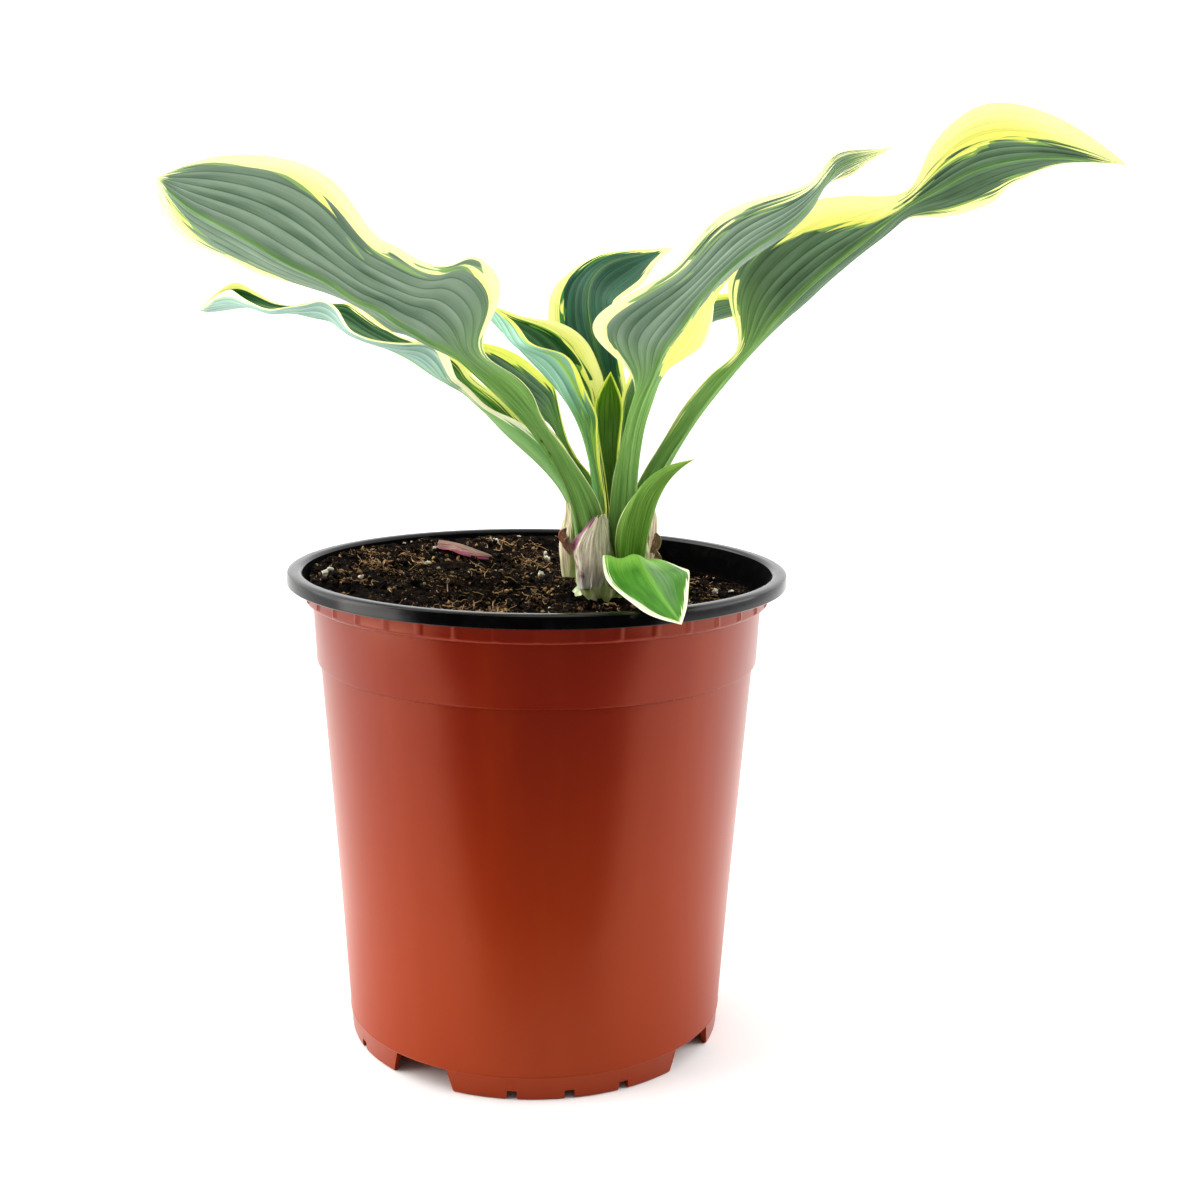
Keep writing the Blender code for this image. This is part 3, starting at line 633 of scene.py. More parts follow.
# Dark and light green, half tone, stalk, yellow and cream of each side of a leaf
UPPER = ("123F12", "2E6830", "7FB03A", "4A7F34", "DADA58", "ECEAA0")
UNDER = ("48644C", "94A793", "98B872", "628E44", "E9E67A", "F4F2C0")
OLIVE_UNDER = ("2E4628", "6E8A6C", "8AAC56", "5C8840", "DCD674", "EAE6AC")
PALE_UNDER = ("789E92", "C4DCD0", "A8C890", "84B074", "EDEA90", "F8F6D4")
DEEP_UNDER = ("34543A", "7A9878", "8FB04A", "4C7A3A", "DDE240", "EEEE80")
MINT_UNDER = ("6A9F84", "B4DCC8", "A4CE5A", "5C9456", "DDE636", "EEF070")
BACK_UPPER = ("08341E", "286848", "4A8A34", "2A5A20", "E0E052", "F0EEA0")
SPEAR = ("3C6E14", "86B43C", "A4C840", "5A8A28", "CCDA3C", "DFEA74")
BRACT = ("628A26", "B0CA6C", "B4CC6A", "5A8420", "C0CC7A", "DCE4AC")
YOUNG = ("26620A", "62A034", "A4D070", "6FA83A", "E0EAA8", "EEF4CC")

# What a leaf has where LOOKS doesn't say otherwise: its upper skin, its sampling, its ruffled edge and
# pleats, its thickness and the keel under its midrib, and its streaks, painted pleat shading and gloss
USUAL = dict(
    upper=UPPER, columns=121, rows=200, roundness=0.5, ruffle=0.7, pleat=0.45, thickness=0.55, keel=0.7,
    streaks=9.0, pleat_shading=0.5, gloss=0.45, slot="leaf",
)
# Each leaf's skins and veins, and how wide its cream margin is at each station, on both sides or as
# (left, right)
LOOKS = {
    "leaf_upper_left": dict(
        under=UNDER, veins=7, roundness=0.1,
        cream=(
            0, 0, 0, 0, (1, 0.5), (6, 0.5), (3, 3), (1.5, 7), (1.5, 9), (2.5, 6), (4, 3), (5, 7), (3.5, 5),
            (2, 7), 1,
        ),
    ),
    "leaf_lower_left": dict(
        under=PALE_UNDER, veins=6, ruffle=0.2, streaks=4.0,
        cream=(
            0, 0, 1, 1.5, (2, 2), (2.2, 4), (2.2, 5), (2, 4), (2, 2), (2.2, 1.5), (2.4, 1.5), 2.2, 1.6, 1.2,
            1.2, 1.2, 1.6, (2, 1.5), (2, 1.5), (1.2, 2), 1,
        ),
    ),
    "leaf_small_left": dict(
        under=DEEP_UNDER, veins=6, streaks=4.0,
        cream=(0, 0, 0, 0, (1, 1), (1.6, 2), (2.5, 3), (3, 3), 2),
    ),
    "leaf_centre_left": dict(
        under=MINT_UNDER, veins=6,
        cream=(0, 0, (0.6, 1), (1.3, 4), (1.3, 5), (1.3, 6), (1.3, 6), (1.3, 4), 2),
    ),
    "leaf_back": dict(
        upper=BACK_UPPER, under=UNDER, veins=5, gloss=0.55, streaks=7.0, pleat=0.35, pleat_shading=0.3,
        cream=(0, 0, 0, (1, 1), (2, 2), (4, 2), (5, 2), (3, 2), (2, 1.5), (2, 2), 6),
    ),
    "leaf_centre_right": dict(
        under=UNDER, veins=7,
        cream=(
            0, 0, 0, 0, (12, 1), (26, 4), (28, 3), (22, 1.6), (5, 1.6), (3, 2.2), (4, 2.2), (3, 2),
            (1.5, 1.2), 1, 0.6,
        ),
    ),
    "leaf_right": dict(
        under=OLIVE_UNDER, veins=7,
        cream=(
            0, 0, 0, 0, 0, (1, 1.5), (1, 2.5), (1, 3), (1, 9), (1.5, 9), (2, 3), (3, 7), (4, 12), (3, 9),
            (2, 5), 2,
        ),
    ),
    "leaf_back_right": dict(
        under=DEEP_UNDER, veins=6, streaks=3.0,
        cream=(0, 0, (1, 1), (2, 2), (2, 2), (2, 2), (2, 2), (2, 2), (2, 2), 1),
    ),
    "leaf_young_spear": dict(
        upper=SPEAR, under=SPEAR, veins=4, rows=110, columns=61, keel=0.3, streaks=2.0, ruffle=0.2,
        cream=(0, 0, 0.8, 1, 1, 1),
    ),
    "bract_front_right": dict(
        upper=BRACT, under=BRACT, veins=5, rows=100, columns=61, keel=0.2, slot="bract",
        thickness=0.7, pleat=0.3, streaks=2.0, ruffle=0.2,
        cream=(0, 0, 0.4, 0.5, 0.5),
    ),
    "leaf_over_rim": dict(
        upper=YOUNG, under=YOUNG, veins=7, rows=120, columns=91, slot="young_leaf", ruffle=0,
        roundness=1.0, keel=0.2, pleat=0.14, streaks=2.5, pleat_shading=0.15,
        cream=(0, 0.5, 0.9, (0.9, 1.3), (1.2, 1.8), (1, 1.4), 1),
    ),
}


def add_leaves():
    for seed, (name, spec) in enumerate(LEAVES.items(), start=1):
        leaf_piece(name, spec, USUAL | LOOKS[name], seed)


def paper_material(name, colours, stain_from):
    """Dry bud-scale skin: fibrous lines along it, pale at its foot and stained towards one side."""
    first, second, stained, foot = (colour(c) for c in colours)
    s = Shader(name)
    across, up = s.attribute("across"), s.attribute("up")
    fibres = s.noise(s.vector(s.times(across, 14.0), s.times(up, 2.5), 0), 1.0, 5, 0.7)
    blotch = s.noise(s.vector(s.times(across, 3.0), s.times(up, 4.0), 5), 1.0, 3)
    base = s.mix(s.ramp(fibres, 0.35, 0.65), first, second)
    stain = s.add(s.times(across, 0.5), blotch)
    base = s.mix(s.ramp(stain, stain_from, stain_from + 0.18), base, stained)
    s.set(
        Base_Color=s.mix(s.ramp(s.add(up, s.times(blotch, 0.3)), 0.1, 0.42), foot, base),
        Roughness=0.62,
        Subsurface_Weight=0.15,
        Subsurface_Radius=(1.0, 0.8, 0.5),
        Subsurface_Scale=0.001,
    )
    s.bump(fibres, 0.0006, 1.0)
    return s.material


# Two paper tones, stain and foot, how much is stained, and the crumpling in millimetres
PAPERS = {
    "sheath_front": dict(colours=("B0A588", "F0E8D2", "96587A", "F2F0E2"), stain=0.66, crumple=0.5),
    "sheath_left": dict(colours=("BFB083", "F4ECD0", "A07050", "DDE0B0"), stain=1.0, crumple=0.4),
    "sheath_right": dict(colours=("A89470", "E8DCC0", "8A5040", "DDE0B0"), stain=0.85, crumple=0.4),
    "scale_brown": dict(colours=("6E3A2C", "B07A62", "8A4A3A", "7A5040"), stain=0.6, crumple=0.5),
    "bract_fallen": dict(colours=("6A4E44", "B08C7C", "8A3450", "8A6A58"), stain=0.74, crumple=0.5),
}

# Torn, curled flaps of old bud scale at the foot of the stalks
FLAPS = (
    ((11, -12.5, 165.5), (10, -13.5, 168), (9.2, -14.2, 170), (9.8, -15, 171.5)),
    ((10, -10.5, 168), (8.8, -11.5, 170.5), (8.2, -12, 172.5), (9, -12.6, 174)),
    ((37.5, -6, 165), (38.8, -7, 167.5), (39.3, -7.2, 170), (38.6, -7, 172)),
    ((38, -5, 158.5), (39.2, -6, 161), (39.6, -6.4, 163.5), (39, -6.2, 165.5)),
    ((29, -17, 159.5), (30, -18.5, 161.5), (31.5, -19.2, 163), (33.5, -19, 163.6)),
    ((34, -11, 178), (34.8, -11.5, 180.5), (35.2, -11.6, 183), (34.7, -11.2, 185)),
)


def paper_mesh(name, place, normal, half, across, up):
    return sheet_mesh(name, place + normal * half, place - normal * half, dict(across=across, up=up))


def add_papers():
    """The papery bud scales, fluted and creased, with torn ends."""
    for number, (name, look) in enumerate(PAPERS.items()):
        grid = leaf_grid(SCALES[name], PAPER_COLUMNS, PAPER_ROWS, end=0.9)
        across, along = grid["across"][None], grid["along"][:, None]
        normal = normals(grid["place"])
        flutes = wave(across * 13 + 0.6 * np.sin(along * 5), number) * 0.5
        creases = wave(along * 9 + across * 4, number + 2) * np.abs(across)
        place = grid["place"] + normal * (look["crumple"] * (flutes + creases))[..., None]
        torn = wave(across * 11, number + 5) + 0.5 * wave(across * 29, number)
        place = place + grid["tangent"] * (torn * np.clip(along - 0.6, 0, 1) * TEAR)[..., None]
        mesh = paper_mesh(name, place, normal, PAPER_HALF, across, along)
        skin = paper_material(name + "_skin", look["colours"], look["stain"])
        add_piece(name + "_fine", mesh, [skin, skin], (name,))


def add_flaps():
    """The curled flaps, each a short strip bent across and along its line."""
    skin = paper_material("curled_flap_skin", ("B08470", "EAD2BE", "B87C70", "D8C0AC"), 0.75)
    across, along = np.linspace(-1, 1, FLAP_COLUMNS)[None], np.linspace(0, 1, FLAP_ROWS)[:, None]
    rounded = np.sin(np.linspace(0.5, 2.9, FLAP_ROWS))[:, None]
    for number, points in enumerate(FLAPS, start=1):
        points = np.array(points, float)
        line = natural_spline(np.linspace(0, 1, len(points)), points, along[:, 0])
        sideways = unit(np.cross(np.gradient(line, axis=0), FLAP_FACING))[:, None]
        reach = FLAP_REACH * rounded * (1 + 0.25 * wave(across * 5, number))
        place = line[:, None] + sideways * (across * reach)[..., None]
        normal = normals(place)
        curl = 0.4 * wave(across * 7 + along * 4, number) - across**2
        mesh = paper_mesh("flap", place + normal * curl[..., None], normal, FLAP_HALF, across, along)
        add_piece(f"curled_flap_{number}", mesh, [skin, skin])


def polar(radius, turn):
    return radius * math.cos(turn), radius * math.sin(turn)


def progress(value, start, width):
    """How far a value has come through a band, from 0 at its start to 1."""
    return min(max((value - start) / width, 0), 1)


def soil_height(x, y):
    """The soil's surface: banked up at the back left, and dished at the back right."""
    up_bank = x * SOIL_BANK_TOWARDS[0] + y * SOIL_BANK_TOWARDS[1]
    bank = SOIL_BANK * progress(up_bank, 0, SOIL_BANK_WIDTH)
    from_dip = math.dist((x, y), SOIL_DIP_CENTRE) / SOIL_DIP_WIDTH
    return SOIL_TOP + bank - SOIL_DIP * math.exp(-(from_dip**2))


def crumbled(x, y):
    """The soil's surface with its crumbs, banked a little against the wall where it is high."""
    coarse = noise.fractal(Vector((x / 7, y / 7, 1.5)), 0.8, 2.1, 5)
    fine = noise.fractal(Vector((x / 1.6, y / 1.6, 4.5)), 0.7, 2.0, 3)
    height = soil_height(x, y)
    near_wall = progress(math.hypot(x, y), *WALL_BAND)
    return height + 1.3 * coarse + 0.7 * fine + 1.4 * (near_wall * progress(height, *HIGH_BAND))


def soil_material():
    """Near-black peat with tan flecks in patches."""
    s = Shader("peat")
    coarse = s.noise(s.place(), 230, 5, 0.7)
    fine = s.noise(s.place(), 900, 4, 0.75)
    patch = s.noise(s.place(), 60, 3)
    dark = s.mix(s.ramp(coarse, 0.42, 0.72), colour("030202"), colour("37261A"))
    tan = s.math("MULTIPLY", s.ramp(fine, 0.55, 0.66), s.ramp(patch, 0.42, 0.58))
    s.set(Base_Color=s.mix(tan, dark, colour("B8946A")), Roughness=0.9, Specular_IOR_Level=0.1)
    s.bump(s.add(coarse, fine), 0.0015, 1.0)
    return s.material


def add_soil():
    """One closed body: the crumbled top, the side against the pot and the flat underside."""
    bm = bmesh.new()
    rings = []
    wall_high, wall_low = COLLAR_RADIUS - WALL - GAP, BAND_RADIUS - WALL - GAP
    soil_foot = FOOT_LIFT + FLOOR + GAP
    under_ledge = (
        (wall_low, COLLAR_BOTTOM - 4), (SOIL_RING_RADIUS, RING_HEIGHT),
        (SOIL_FOOT_RADIUS, soil_foot + 1.2), (SOIL_FOOT_RADIUS - 1, soil_foot),
    )
    for step in range(SOIL_STEPS):
        turn = math.tau * step / SOIL_STEPS
        rim_height = soil_height(*polar(wall_high, turn))
        reach = wall_high if rim_height > COLLAR_BOTTOM + 0.9 else wall_low
        ring = []
        for number in range(1, SOIL_RINGS + 1):
            x, y = polar(reach * (number / SOIL_RINGS) ** SOIL_CROWDING, turn)
            ring.append(bm.verts.new((x, y, crumbled(x, y))))
        for radius, height in under_ledge:
            ring.append(bm.verts.new((*polar(radius, turn), height)))
        rings.append(ring)
    top = bm.verts.new((0, 0, crumbled(0, 0)))
    bottom = bm.verts.new((0, 0, soil_foot))
    for here, there in zip(rings, rings[1:] + rings[:1]):
        bm.faces.new((top, here[0], there[0]))
        bm.faces.new((bottom, there[-1], here[-1]))
        for a, b, c, d in zip(here, here[1:], there[1:], there):
            bm.faces.new((a, b, c, d))
    peat = soil_material()
    add_piece("potting_soil_fine", mesh_of(bm, "potting_soil_fine"), [peat], ("potting_soil",))
    return peat


def mesh_of(bm, name, smooth=True):
    bmesh.ops.recalc_face_normals(bm, faces=bm.faces)
    bmesh.ops.scale(bm, vec=(MM, MM, MM), verts=bm.verts)
    mesh = bpy.data.meshes.new(name)
    bm.to_mesh(mesh)
    bm.free()
    mesh.polygons.foreach_set("use_smooth", [smooth] * len(mesh.polygons))
    return mesh


def lumps_mesh(name, lumps, subdivisions, roughness, smooth=True):
    """Small irregular grains in one mesh, each given as its place and radius."""
    ball = bmesh.new()
    bmesh.ops.create_icosphere(ball, subdivisions=subdivisions, radius=1)
    corners = [vert.co.copy() for vert in ball.verts]
    triangles = np.array([[vert.index for vert in face.verts] for face in ball.faces])
    ball.free()
    points, faces = [], []
    for place, radius in lumps:
        turn = Matrix.Rotation(PLACES.uniform(0, math.tau), 3, PLACES.choice("XYZ"))
        squash = Vector((PLACES.uniform(0.6, 1.3), PLACES.uniform(0.6, 1.3), PLACES.uniform(0.5, 0.9)))
        seed = Vector((PLACES.uniform(0, 99), 0, 0))
        faces.append(triangles + len(points))
        for corner in corners:
            swell = 1 + roughness * noise.fractal(corner * 1.6 + seed, 1, 2, 3)
            points.append((Vector(place) + turn @ (corner * swell * squash * radius)) * MM)
    mesh = bpy.data.meshes.new(name)
    mesh.from_pydata(points, [], np.concatenate(faces).tolist())
    mesh.polygons.foreach_set("use_smooth", [smooth] * len(mesh.polygons))
    return mesh


def soil_place():
    """A random place on the soil, clear of the crown, and off the pot's ledge where that is bare."""
    while True:
        turn, reach = PLACES.uniform(0, math.tau), SCATTER_RADIUS * math.sqrt(PLACES.uniform(0, 1))
        x, y = polar(reach, turn)
        off_crown = math.hypot((x - CROWN_X) / CROWN_CLEAR[0], y / CROWN_CLEAR[1]) > 1
        if off_crown and (reach < LEDGE_RADIUS or soil_height(x, y) > LEDGE_COVERED):
            return x, y


def plain_material(name, first, second, scale, roughness, depth):
    """Two colours in blotches, with the same blotches as relief."""
    s = Shader(name)
    blotch = s.noise(s.place(), scale, 4, 0.65)
    s.set(Base_Color=s.mix(s.ramp(blotch, 0.35, 0.65), colour(first), colour(second)), Roughness=roughness)
    s.bump(blotch, depth, 1.0)
    return s.material


def add_crumbs(peat):
    """Loose lumps of peat and bark lying on the soil."""
    lumps = []
    for _ in range(LUMPS):
        x, y = soil_place()
        radius = PLACES.choice((0.3, 0.4, 0.5, 0.6, 0.8, 1.1, 1.5))
        lumps.append(((x, y, crumbled(x, y) + PLACES.uniform(-0.2, 0.5) * radius), radius))
    bark = plain_material("bark_crumbs_skin", "5A3E26", "C09A6C", 500, 0.9, 0.0004)
    add_piece("peat_crumbs", lumps_mesh("peat_crumbs", lumps[BARK_LUMPS:], 1, 0.6, False), [peat])
    small = [(place, radius * 0.6) for place, radius in lumps[:BARK_LUMPS]]
    add_piece("bark_crumbs", lumps_mesh("bark_crumbs", small, 1, 0.6, False), [bark])


def add_tube(bm, line):
    """A closed tube through rings of points."""
    rings = [[bm.verts.new(point) for point in ring] for ring in line]
    for here, there in zip(rings, rings[1:]):
        for i in range(len(here)):
            bm.faces.new((here[i - 1], here[i], there[i], there[i - 1]))
    bm.faces.new(rings[0][::-1])
    bm.faces.new(rings[-1])


def add_fibres():
    """Fine coir and bark fibres lying across each other, in tufts."""
    bm = bmesh.new()
    tufts = [soil_place() for _ in range(TUFTS)]
    for number in range(FIBRES):
        x, y = PLACES.choice(tufts) if number % 3 else soil_place()
        x, y = x + PLACES.gauss(0, TUFT_SPREAD), y + PLACES.gauss(0, TUFT_SPREAD)
        turn, length = PLACES.uniform(0, math.tau), PLACES.choice((1.5, 2, 3, 4, 7))
        tilt, bend = PLACES.uniform(-0.5, 0.5), PLACES.uniform(-0.7, 0.7)
        thick = PLACES.uniform(0.08, 0.22)
        line = []
        for step in range(FIBRE_STEPS + 1):
            share = step / FIBRE_STEPS - 0.5
            heading = turn + bend * share * 2
            px = x + length * share * math.cos(heading)
            py = y + length * share * math.sin(heading)
            on_crown = math.hypot((px - CROWN_X) / FIBRE_CLEAR[0], py / FIBRE_CLEAR[1]) < 1
            if on_crown or math.hypot(px, py) > FIBRE_REACH:
                break
            centre = Vector((px, py, crumbled(px, py) + 0.25 + length * abs(tilt) * (0.5 + share)))
            across = Vector((-math.sin(heading), math.cos(heading), 0)) * thick
            up = Vector((0, 0, thick))
            line.append([centre + offset for offset in (across, up, -across, -up)])
        if len(line) > 1:
            add_tube(bm, line)
    straw = plain_material("fibres", "5E422A", "CFA878", 260, 0.85, 0.0003)
    add_piece("soil_fibres", mesh_of(bm, "soil_fibres"), [straw])


def add_perlite():
    """The CAD grains with rough skins, and a scatter of smaller ones."""
    white = plain_material("perlite_skin", "B8B29C", "F2EEDF", 700, 0.85, 0.0006)
    for name in (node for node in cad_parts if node.startswith("perlite_grain")):
        low, high = (Vector(corner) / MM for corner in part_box(name))
        grain = lumps_mesh(name, [((low + high) / 2, (high - low).x * 0.5)], 3, 0.7)
        add_piece(name + "_fine", grain, [white], (name,))
    lumps = []
    for _ in range(SMALL_PERLITE):
        x, y = soil_place()
        radius = PLACES.choice((0.25, 0.3, 0.35, 0.45, 0.6, 0.9))
        lumps.append(((x, y, crumbled(x, y) + radius * 0.4), radius))
    add_piece("perlite_scatter", lumps_mesh("perlite_scatter", lumps, 2, 0.7), [white])


# The pale foot of the front shoot, as the height, radius and place of its rings
SHOOT_FOOT = (
    (148, 1.0, 20, -13), (149.5, 3.0, 20, -12.5), (152, 5.4, 19.6, -12), (155.5, 7.0, 19, -11),
    (159, 7.0, 19, -10), (163, 6.2, 19.5, -8.5), (168, 5.5, 20, -7), (173, 4.5, 20, -6),
)
# Each shoot's shift from the front one and its thickness
SHOOTS = ((0, 0, 1), (12, 4, 0.8), (5, 15, 1))
SHOOT_STEPS = 48


def shoot_skin():
    """Greenish white with fine upright lines and greener blotches."""
    s = Shader("shoot_foot_skin")
    lines = s.noise(s.place((1, 1, 0.12)), 420, 3)
    blotch = s.noise(s.place(), 90, 3)
    base = s.mix(s.ramp(lines, 0.35, 0.7), colour("9CAE62"), colour("DDE2BE"))
    s.set(
        Base_Color=s.mix(s.ramp(blotch, 0.4, 0.7), base, colour("7F9648")),
        Roughness=0.45,
        Subsurface_Weight=0.2,
        Subsurface_Scale=0.002,
    )
    s.bump(lines, 0.0003, 0.5)
    return s.material


def add_crown():
    """The swollen, pale feet of the shoots, and the same skin for the crown and roots in the soil."""
    skin = shoot_skin()
    for number, (right, back, size) in enumerate(SHOOTS, start=1):
        bm = bmesh.new()
        line = []
        for height, radius, x, y in SHOOT_FOOT:
            ring = []
            for step in range(SHOOT_STEPS):
                angle = math.tau * step / SHOOT_STEPS
                ripple = 1 + 0.05 * math.sin(3 * angle + number) + 0.03 * math.sin(7 * angle + height / 3)
                reach = radius * ripple * size
                across, away = polar(reach, angle)
                ring.append((x + right + across, y + back + away, height))
            line.append(ring)
        add_tube(bm, line)
        add_piece(f"shoot_foot_{number}", mesh_of(bm, f"shoot_foot_{number}"), [skin])
    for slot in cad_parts["crown_and_roots"].material_slots:
        slot.material = skin


def pot_profile():
    """The pot's section as (radius, height), from the middle of the underside to the middle of the floor."""
    lip = RIM_RADIUS
    inner_floor = FOOT_LIFT + FLOOR
    return (
        (0, FOOT_LIFT), (30, FOOT_LIFT), (FOOT_RADIUS - 2.4, FOOT_LIFT), (FOOT_RADIUS - 1.8, 0),
        (FOOT_RADIUS - 0.8, 0), (FOOT_RADIUS - 0.2, 0.3), (FOOT_RADIUS, 1),
        (FOOT_RADIUS + 0.5, 7.3), (FOOT_RADIUS + 0.75, 7.8), (FOOT_RADIUS + 0.6, 8.4),
        (66.6, 50), (69.4, 90), (WALL_TOP_RADIUS, RING_HEIGHT - 0.5),
        (RING_RADIUS - 0.2, RING_HEIGHT), (RING_RADIUS, RING_HEIGHT + 0.5),
        (BAND_RADIUS, COLLAR_BOTTOM - 0.7),
        (COLLAR_RADIUS - 0.8, COLLAR_BOTTOM - 0.4), (COLLAR_RADIUS - 0.3, COLLAR_BOTTOM - 0.1),
        (COLLAR_RADIUS, COLLAR_BOTTOM + 0.5),
        (COLLAR_RADIUS, COLLAR_BOTTOM + 1.0), (COLLAR_RADIUS, RIM_BOTTOM + 0.6),
        (COLLAR_RADIUS + 0.4, RIM_BOTTOM + 1.6), (COLLAR_RADIUS + 1.6, RIM_TOP - 1.4),
        (lip - 1.7, RIM_TOP - 1.4), (lip - 1.2, RIM_TOP - 1.9), (lip - 1.2, RIM_BOTTOM + 0.2),
        (lip - 1.0, RIM_BOTTOM), (lip - 0.3, RIM_BOTTOM), (lip, RIM_BOTTOM + 0.3),
        (lip, RIM_TOP - 1.4), (lip - 0.3, RIM_TOP - 0.5), (lip - 1.0, RIM_TOP - 0.1), (lip - 1.8, RIM_TOP),
        (RIM_INNER_RADIUS + 1.6, RIM_TOP), (RIM_INNER_RADIUS + 0.7, RIM_TOP - 0.2),
        (RIM_INNER_RADIUS, RIM_TOP - 1.0),
        (COLLAR_RADIUS - WALL, RIM_BOTTOM), (COLLAR_RADIUS - WALL, COLLAR_BOTTOM + 0.4),
        (COLLAR_RADIUS - WALL - 0.4, COLLAR_BOTTOM - 0.2), (BAND_RADIUS - WALL, COLLAR_BOTTOM - 1.4),
        (RING_RADIUS - WALL, RING_HEIGHT), (WALL_TOP_RADIUS - WALL, RING_HEIGHT - 1.4),
        (FOOT_RADIUS - WALL, inner_floor + 1), (FOOT_RADIUS - WALL - 1, inner_floor), (30, inner_floor),
        (0, inner_floor),
    )


def pot_materials():
    """Terracotta plastic outside, with painted shade darkening it towards the rim, glossy black on the rim,
    and dull black inside.
    """
    red = Shader("terracotta_plastic")
    cloud = red.noise(red.place((1, 1, 0.5)), 14, 3)
    streaks = red.noise(red.place((1, 1, 0.08)), 60, 3)
    dust = red.noise(red.place(), 420, 2, 0.5)
    # Painted shade: from about 30 mm up to 150 mm the outside is mixed more and more towards the darker red,
    # so the upper pot is darker.
    up = red.ramp(red.axis("Z"), 0.03, 0.15)
    base = red.mix(red.times(cloud, 0.4, red.times(up, 0.8, -0.1)), colour("8C2E02"), colour("6A0E00"))
    base = red.mix(red.times(red.ramp(streaks, 0.45, 0.75), 0.15), base, colour("963A0C"))
    red.set(
        Base_Color=red.mix(red.ramp(dust, 0.79, 0.82), base, colour("3A2015")),
        Roughness=red.times(cloud, 0.12, 0.24),
        Specular_IOR_Level=0.75,
        Specular_Tint=(1.0, 0.5, 0.34, 1.0),
    )
    red.bump(streaks, 0.00015, 0.4)
    black = Shader("black_plastic")
    scuff = black.noise(black.place(), 120, 4, 0.6)
    speck = black.noise(black.place(), 520, 2)
    shade = black.mix(black.ramp(scuff, 0.4, 0.8), colour("050507"), colour("121113"))
    black.set(
        Base_Color=black.mix(black.ramp(speck, 0.76, 0.8), shade, colour("6A5236")),
        Roughness=black.times(scuff, 0.16, 0.1),
        Specular_IOR_Level=0.25,
    )
    black.bump(scuff, 0.0001, 0.3)
    inner = Shader("black_inner_wall")
    dust = inner.noise(inner.place(), 200, 4, 0.6)
    shade = inner.mix(inner.ramp(dust, 0.4, 0.75), colour("030304"), colour("100E0D"))
    inner.set(
        Base_Color=inner.mix(inner.ramp(dust, 0.68, 0.74), shade, colour("3A2C20")),
        Roughness=0.8,
        Specular_IOR_Level=0.02,
    )
    return [red.material, black.material, inner.material]


def foot_cutters():
    """The drainage arches between the feet, and the small notches in each foot."""
    bm = bmesh.new()
    depth = RIM_RADIUS - ARCH_INNER_RADIUS
    shapes = []
    for foot in range(FEET):
        arch_turn = math.radians(FOOT_TURN + foot * 360 / FEET)
        shapes.append((arch_turn, ARCH_WIDTH, ARCH_HEIGHT))
        foot_middle = arch_turn + math.pi / FEET
        for place in (-1, 0, 1):
            shapes.append((foot_middle + math.radians(place * NOTCH_STEP), NOTCH_WIDTH, NOTCH_HEIGHT))
    for turn, width, height in shapes:
        inner = ARCH_INNER_RADIUS if width == ARCH_WIDTH else FOOT_RADIUS - 3 * WALL
        for vert in bmesh.ops.create_cube(bm, size=1)["verts"]:
            top = vert.co.z > 0
            side = vert.co.y * width * (ARCH_TAPER if top else 1)
            reach = inner + (vert.co.x + 0.5) * depth
            x = reach * math.sin(turn) + side * math.cos(turn)
            y = -reach * math.cos(turn) + side * math.sin(turn)
            vert.co = (x, y, height if top else -1)
    return mesh_of(bm, "foot_cutters", False)


def pot_mesh():
    """The pot turned from its profile, ribbed on its collar. Slot 0 is outside, 1 the rim, 2 inside."""
    profile = pot_profile()
    rim_from = next(i for i, point in enumerate(profile) if point[0] > COLLAR_RADIUS)
    inner_from = profile.index((RIM_INNER_RADIUS, RIM_TOP - 1.0))
    ribbed = [i for i, point in enumerate(profile[:rim_from]) if point[0] == COLLAR_RADIUS][1:]
    bm = bmesh.new()
    rings = []
    for step in range(POT_STEPS):
        turn = math.tau * step / POT_STEPS
        rib = RIB_HEIGHT if step % RIB_EVERY == 0 else 0
        ring = []
        for i, (radius, height) in enumerate(profile[1:-1], start=1):
            radius += rib if i in ribbed else 0
            ring.append(bm.verts.new((*polar(radius, turn), height)))
        rings.append(ring)
    low, high = (bm.verts.new((0, 0, profile[i][1])) for i in (0, -1))
    for here, there in zip(rings, rings[1:] + rings[:1]):
        bm.faces.new((low, there[0], here[0]))
        bm.faces.new((high, here[-1], there[-1])).material_index = 2
        for i, corners in enumerate(zip(here, there, there[1:], here[1:]), start=1):
            bm.faces.new(corners).material_index = 0 if i < rim_from - 1 else 1 if i < inner_from else 2
    return mesh_of(bm, "nursery_pot_fine")


def add_pot():
    """The pot with its arches and notches cut out of its foot."""
    pot = add_piece("nursery_pot_fine", pot_mesh(), pot_materials(), ("nursery_pot",))
    cutter = new_object("foot_cutters", foot_cutters())
    cut = pot.modifiers.new("feet", "BOOLEAN")
    cut.object = cutter
    cut.solver = "EXACT"
    view = bpy.context.evaluated_depsgraph_get()
    pot.data = bpy.data.meshes.new_from_object(pot.evaluated_get(view))
    pot.modifiers.clear()
    bpy.data.objects.remove(cutter, do_unlink=True)
    pot.data.set_sharp_from_angle(angle=math.radians(SHARP_DEGREES))


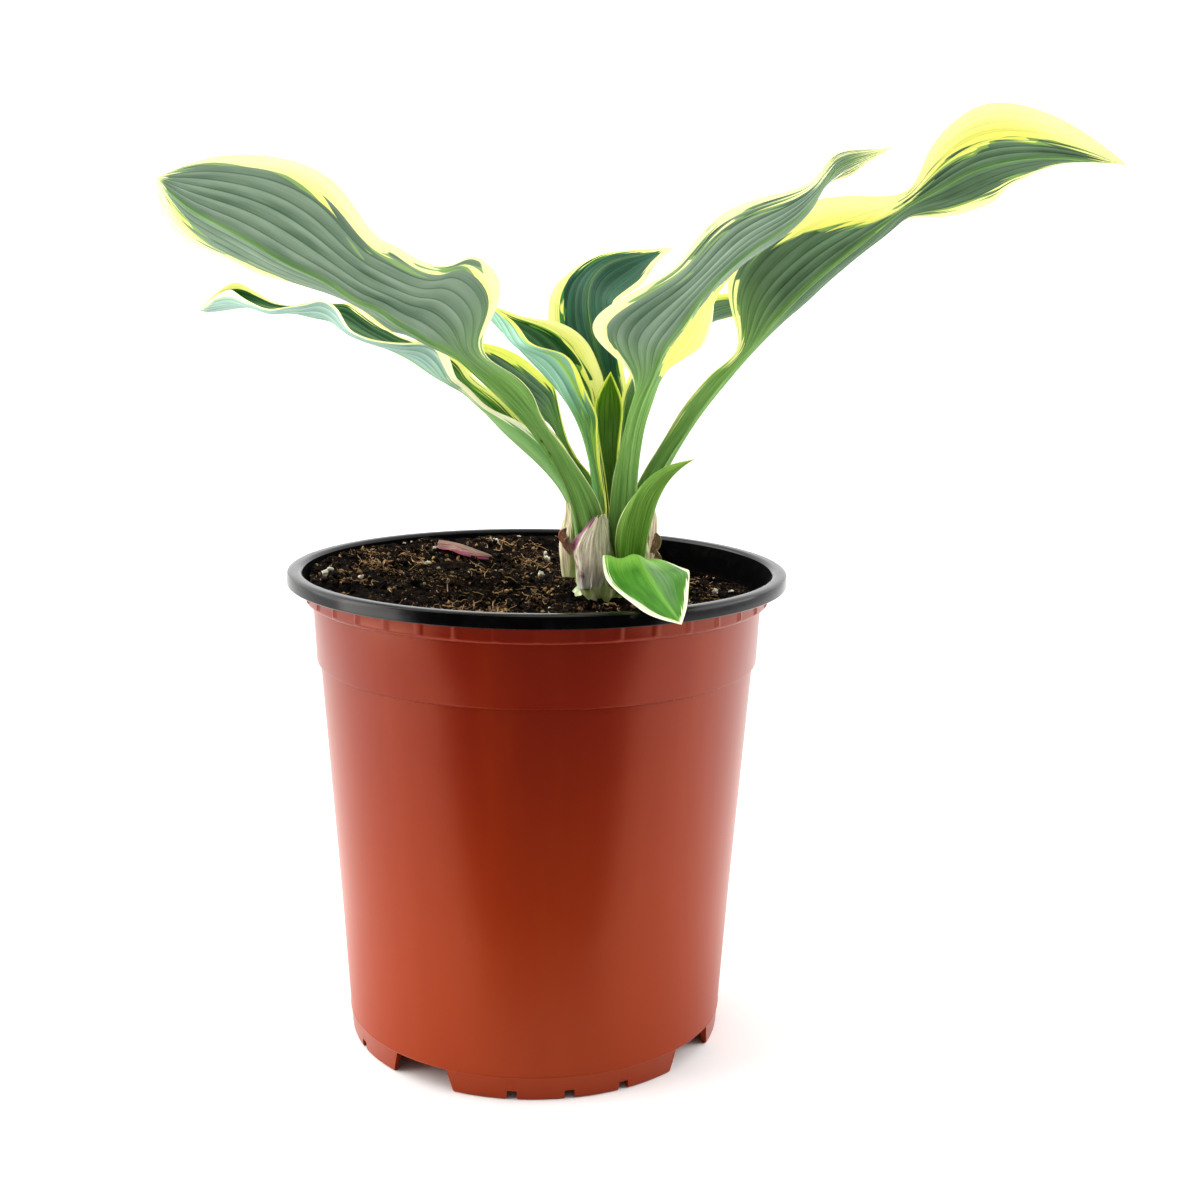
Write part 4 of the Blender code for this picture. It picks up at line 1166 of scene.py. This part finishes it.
def add_camera():
    """A camera that looks along its yaw, down by its pitch, tilted by its roll."""
    pitch, yaw, roll = (math.radians(a) for a in (CAMERA_PITCH, CAMERA_YAW, CAMERA_ROLL))
    ahead = Vector((math.sin(yaw) * math.cos(pitch), math.cos(yaw) * math.cos(pitch), -math.sin(pitch)))
    across = Vector((math.cos(yaw), -math.sin(yaw), 0))
    up = across.cross(ahead)
    tilted = across * math.cos(roll) + up * math.sin(roll)
    up = up * math.cos(roll) - across * math.sin(roll)
    camera = new_object("camera", bpy.data.cameras.new("camera"))
    camera.data.lens = CAMERA_LENS
    camera.data.sensor_width = SENSOR_WIDTH
    turned = Matrix((tilted, up, -ahead)).transposed().to_4x4()
    camera.matrix_world = Matrix.Translation(Vector(CAMERA_PLACE) * MM) @ turned
    bpy.context.scene.camera = camera


def add_light(name, kind, place, power, tint, size):
    """A sun or a square window, at a place in metres, turned to the object."""
    light = bpy.data.lights.new(name, kind)
    light.energy = power
    light.color = tint
    if kind == "SUN":
        light.angle = size
    else:
        light.shape = "RECTANGLE"
        light.size = light.size_y = size
    lamp = new_object(name, light)
    lamp.location = place
    lamp.rotation_euler = (AIM - Vector(place)).to_track_quat("-Z", "Y").to_euler()


def add_card(name, corners, shade):
    """A flat card or floor that belongs to the studio, by its corners in metres."""
    mesh = bpy.data.meshes.new(name)
    mesh.from_pydata(corners, [], [(0, 1, 2, 3)])
    card = new_object(name, mesh)
    s = Shader(name)
    s.set(Base_Color=shade, Roughness=0.9, Specular_IOR_Level=0.1)
    mesh.materials.append(s.material)
    card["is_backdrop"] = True
    return card


def add_world():
    """A white room, dimmer in front, which the camera itself sees as plain white."""
    world = bpy.data.worlds.new("studio")
    bpy.context.scene.world = world
    s = Shader("studio", world)
    dim, bright, white = 0.35, 1.3, 1.2
    seen = s.node("Mix")
    s.link(s.node("LightPath").outputs["Is Camera Ray"], seen.inputs[0])
    s.link(s.times(s.ramp(s.axis("Y", "Generated"), -0.9, 0.4), bright - dim, dim), seen.inputs[2])
    s.link(white, seen.inputs[3])
    background = s.tree.nodes["Background"]
    s.link(seen.outputs[0], background.inputs["Strength"])
    s.link((1, 1, 1, 1), background.inputs["Color"])


def add_studio():
    """The floor, two dark cards that only reflections show, and the three lights, in metres."""
    far, high, half = -0.5, 0.6, 0.65
    add_card("floor", [(-40, -40, 0), (40, -40, 0), (40, 40, 0), (-40, 40, 0)], (0.95, 0.95, 0.945, 1))
    standing = ((-half, far, 0.002), (half, far, 0.002), (half, far, high), (-half, far, high))
    lying = ((-0.05, -0.13, 0.001), (-half, far, 0.001), (half, far, 0.001), (0.07, -0.13, 0.001))
    for number, corners in enumerate((standing, lying), start=1):
        card = add_card(f"dark_reflection_{number}", corners, (0.02, 0.015, 0.015, 1))
        card.visible_camera = card.visible_diffuse = card.visible_shadow = False
    add_world()
    add_light("window", "SUN", (-1.3, 0.3, 1.1), 2.2, (1, 0.98, 0.95), math.radians(70))
    add_light("right_window", "AREA", (1.2, 0.0, 0.7), 10, (1, 0.99, 0.97), 1.0)
    add_light("left_window", "AREA", (-0.8, -0.2, 0.12), 3, (1, 0.97, 0.93), 0.5)
    bpy.context.scene.view_settings.view_transform = "Standard"
    bpy.context.scene.view_settings.look = "Medium High Contrast"


add_camera()
add_studio()
add_pot()
peat_skin = add_soil()
add_crumbs(peat_skin)
add_fibres()
add_perlite()
add_crown()
add_leaves()
add_papers()
add_flaps()

boxes = dict(cad=[list(map(float, corner)) for corner in CAD_BOUNDS])
boxes["visual"] = [list(map(float, corner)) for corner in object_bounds()]
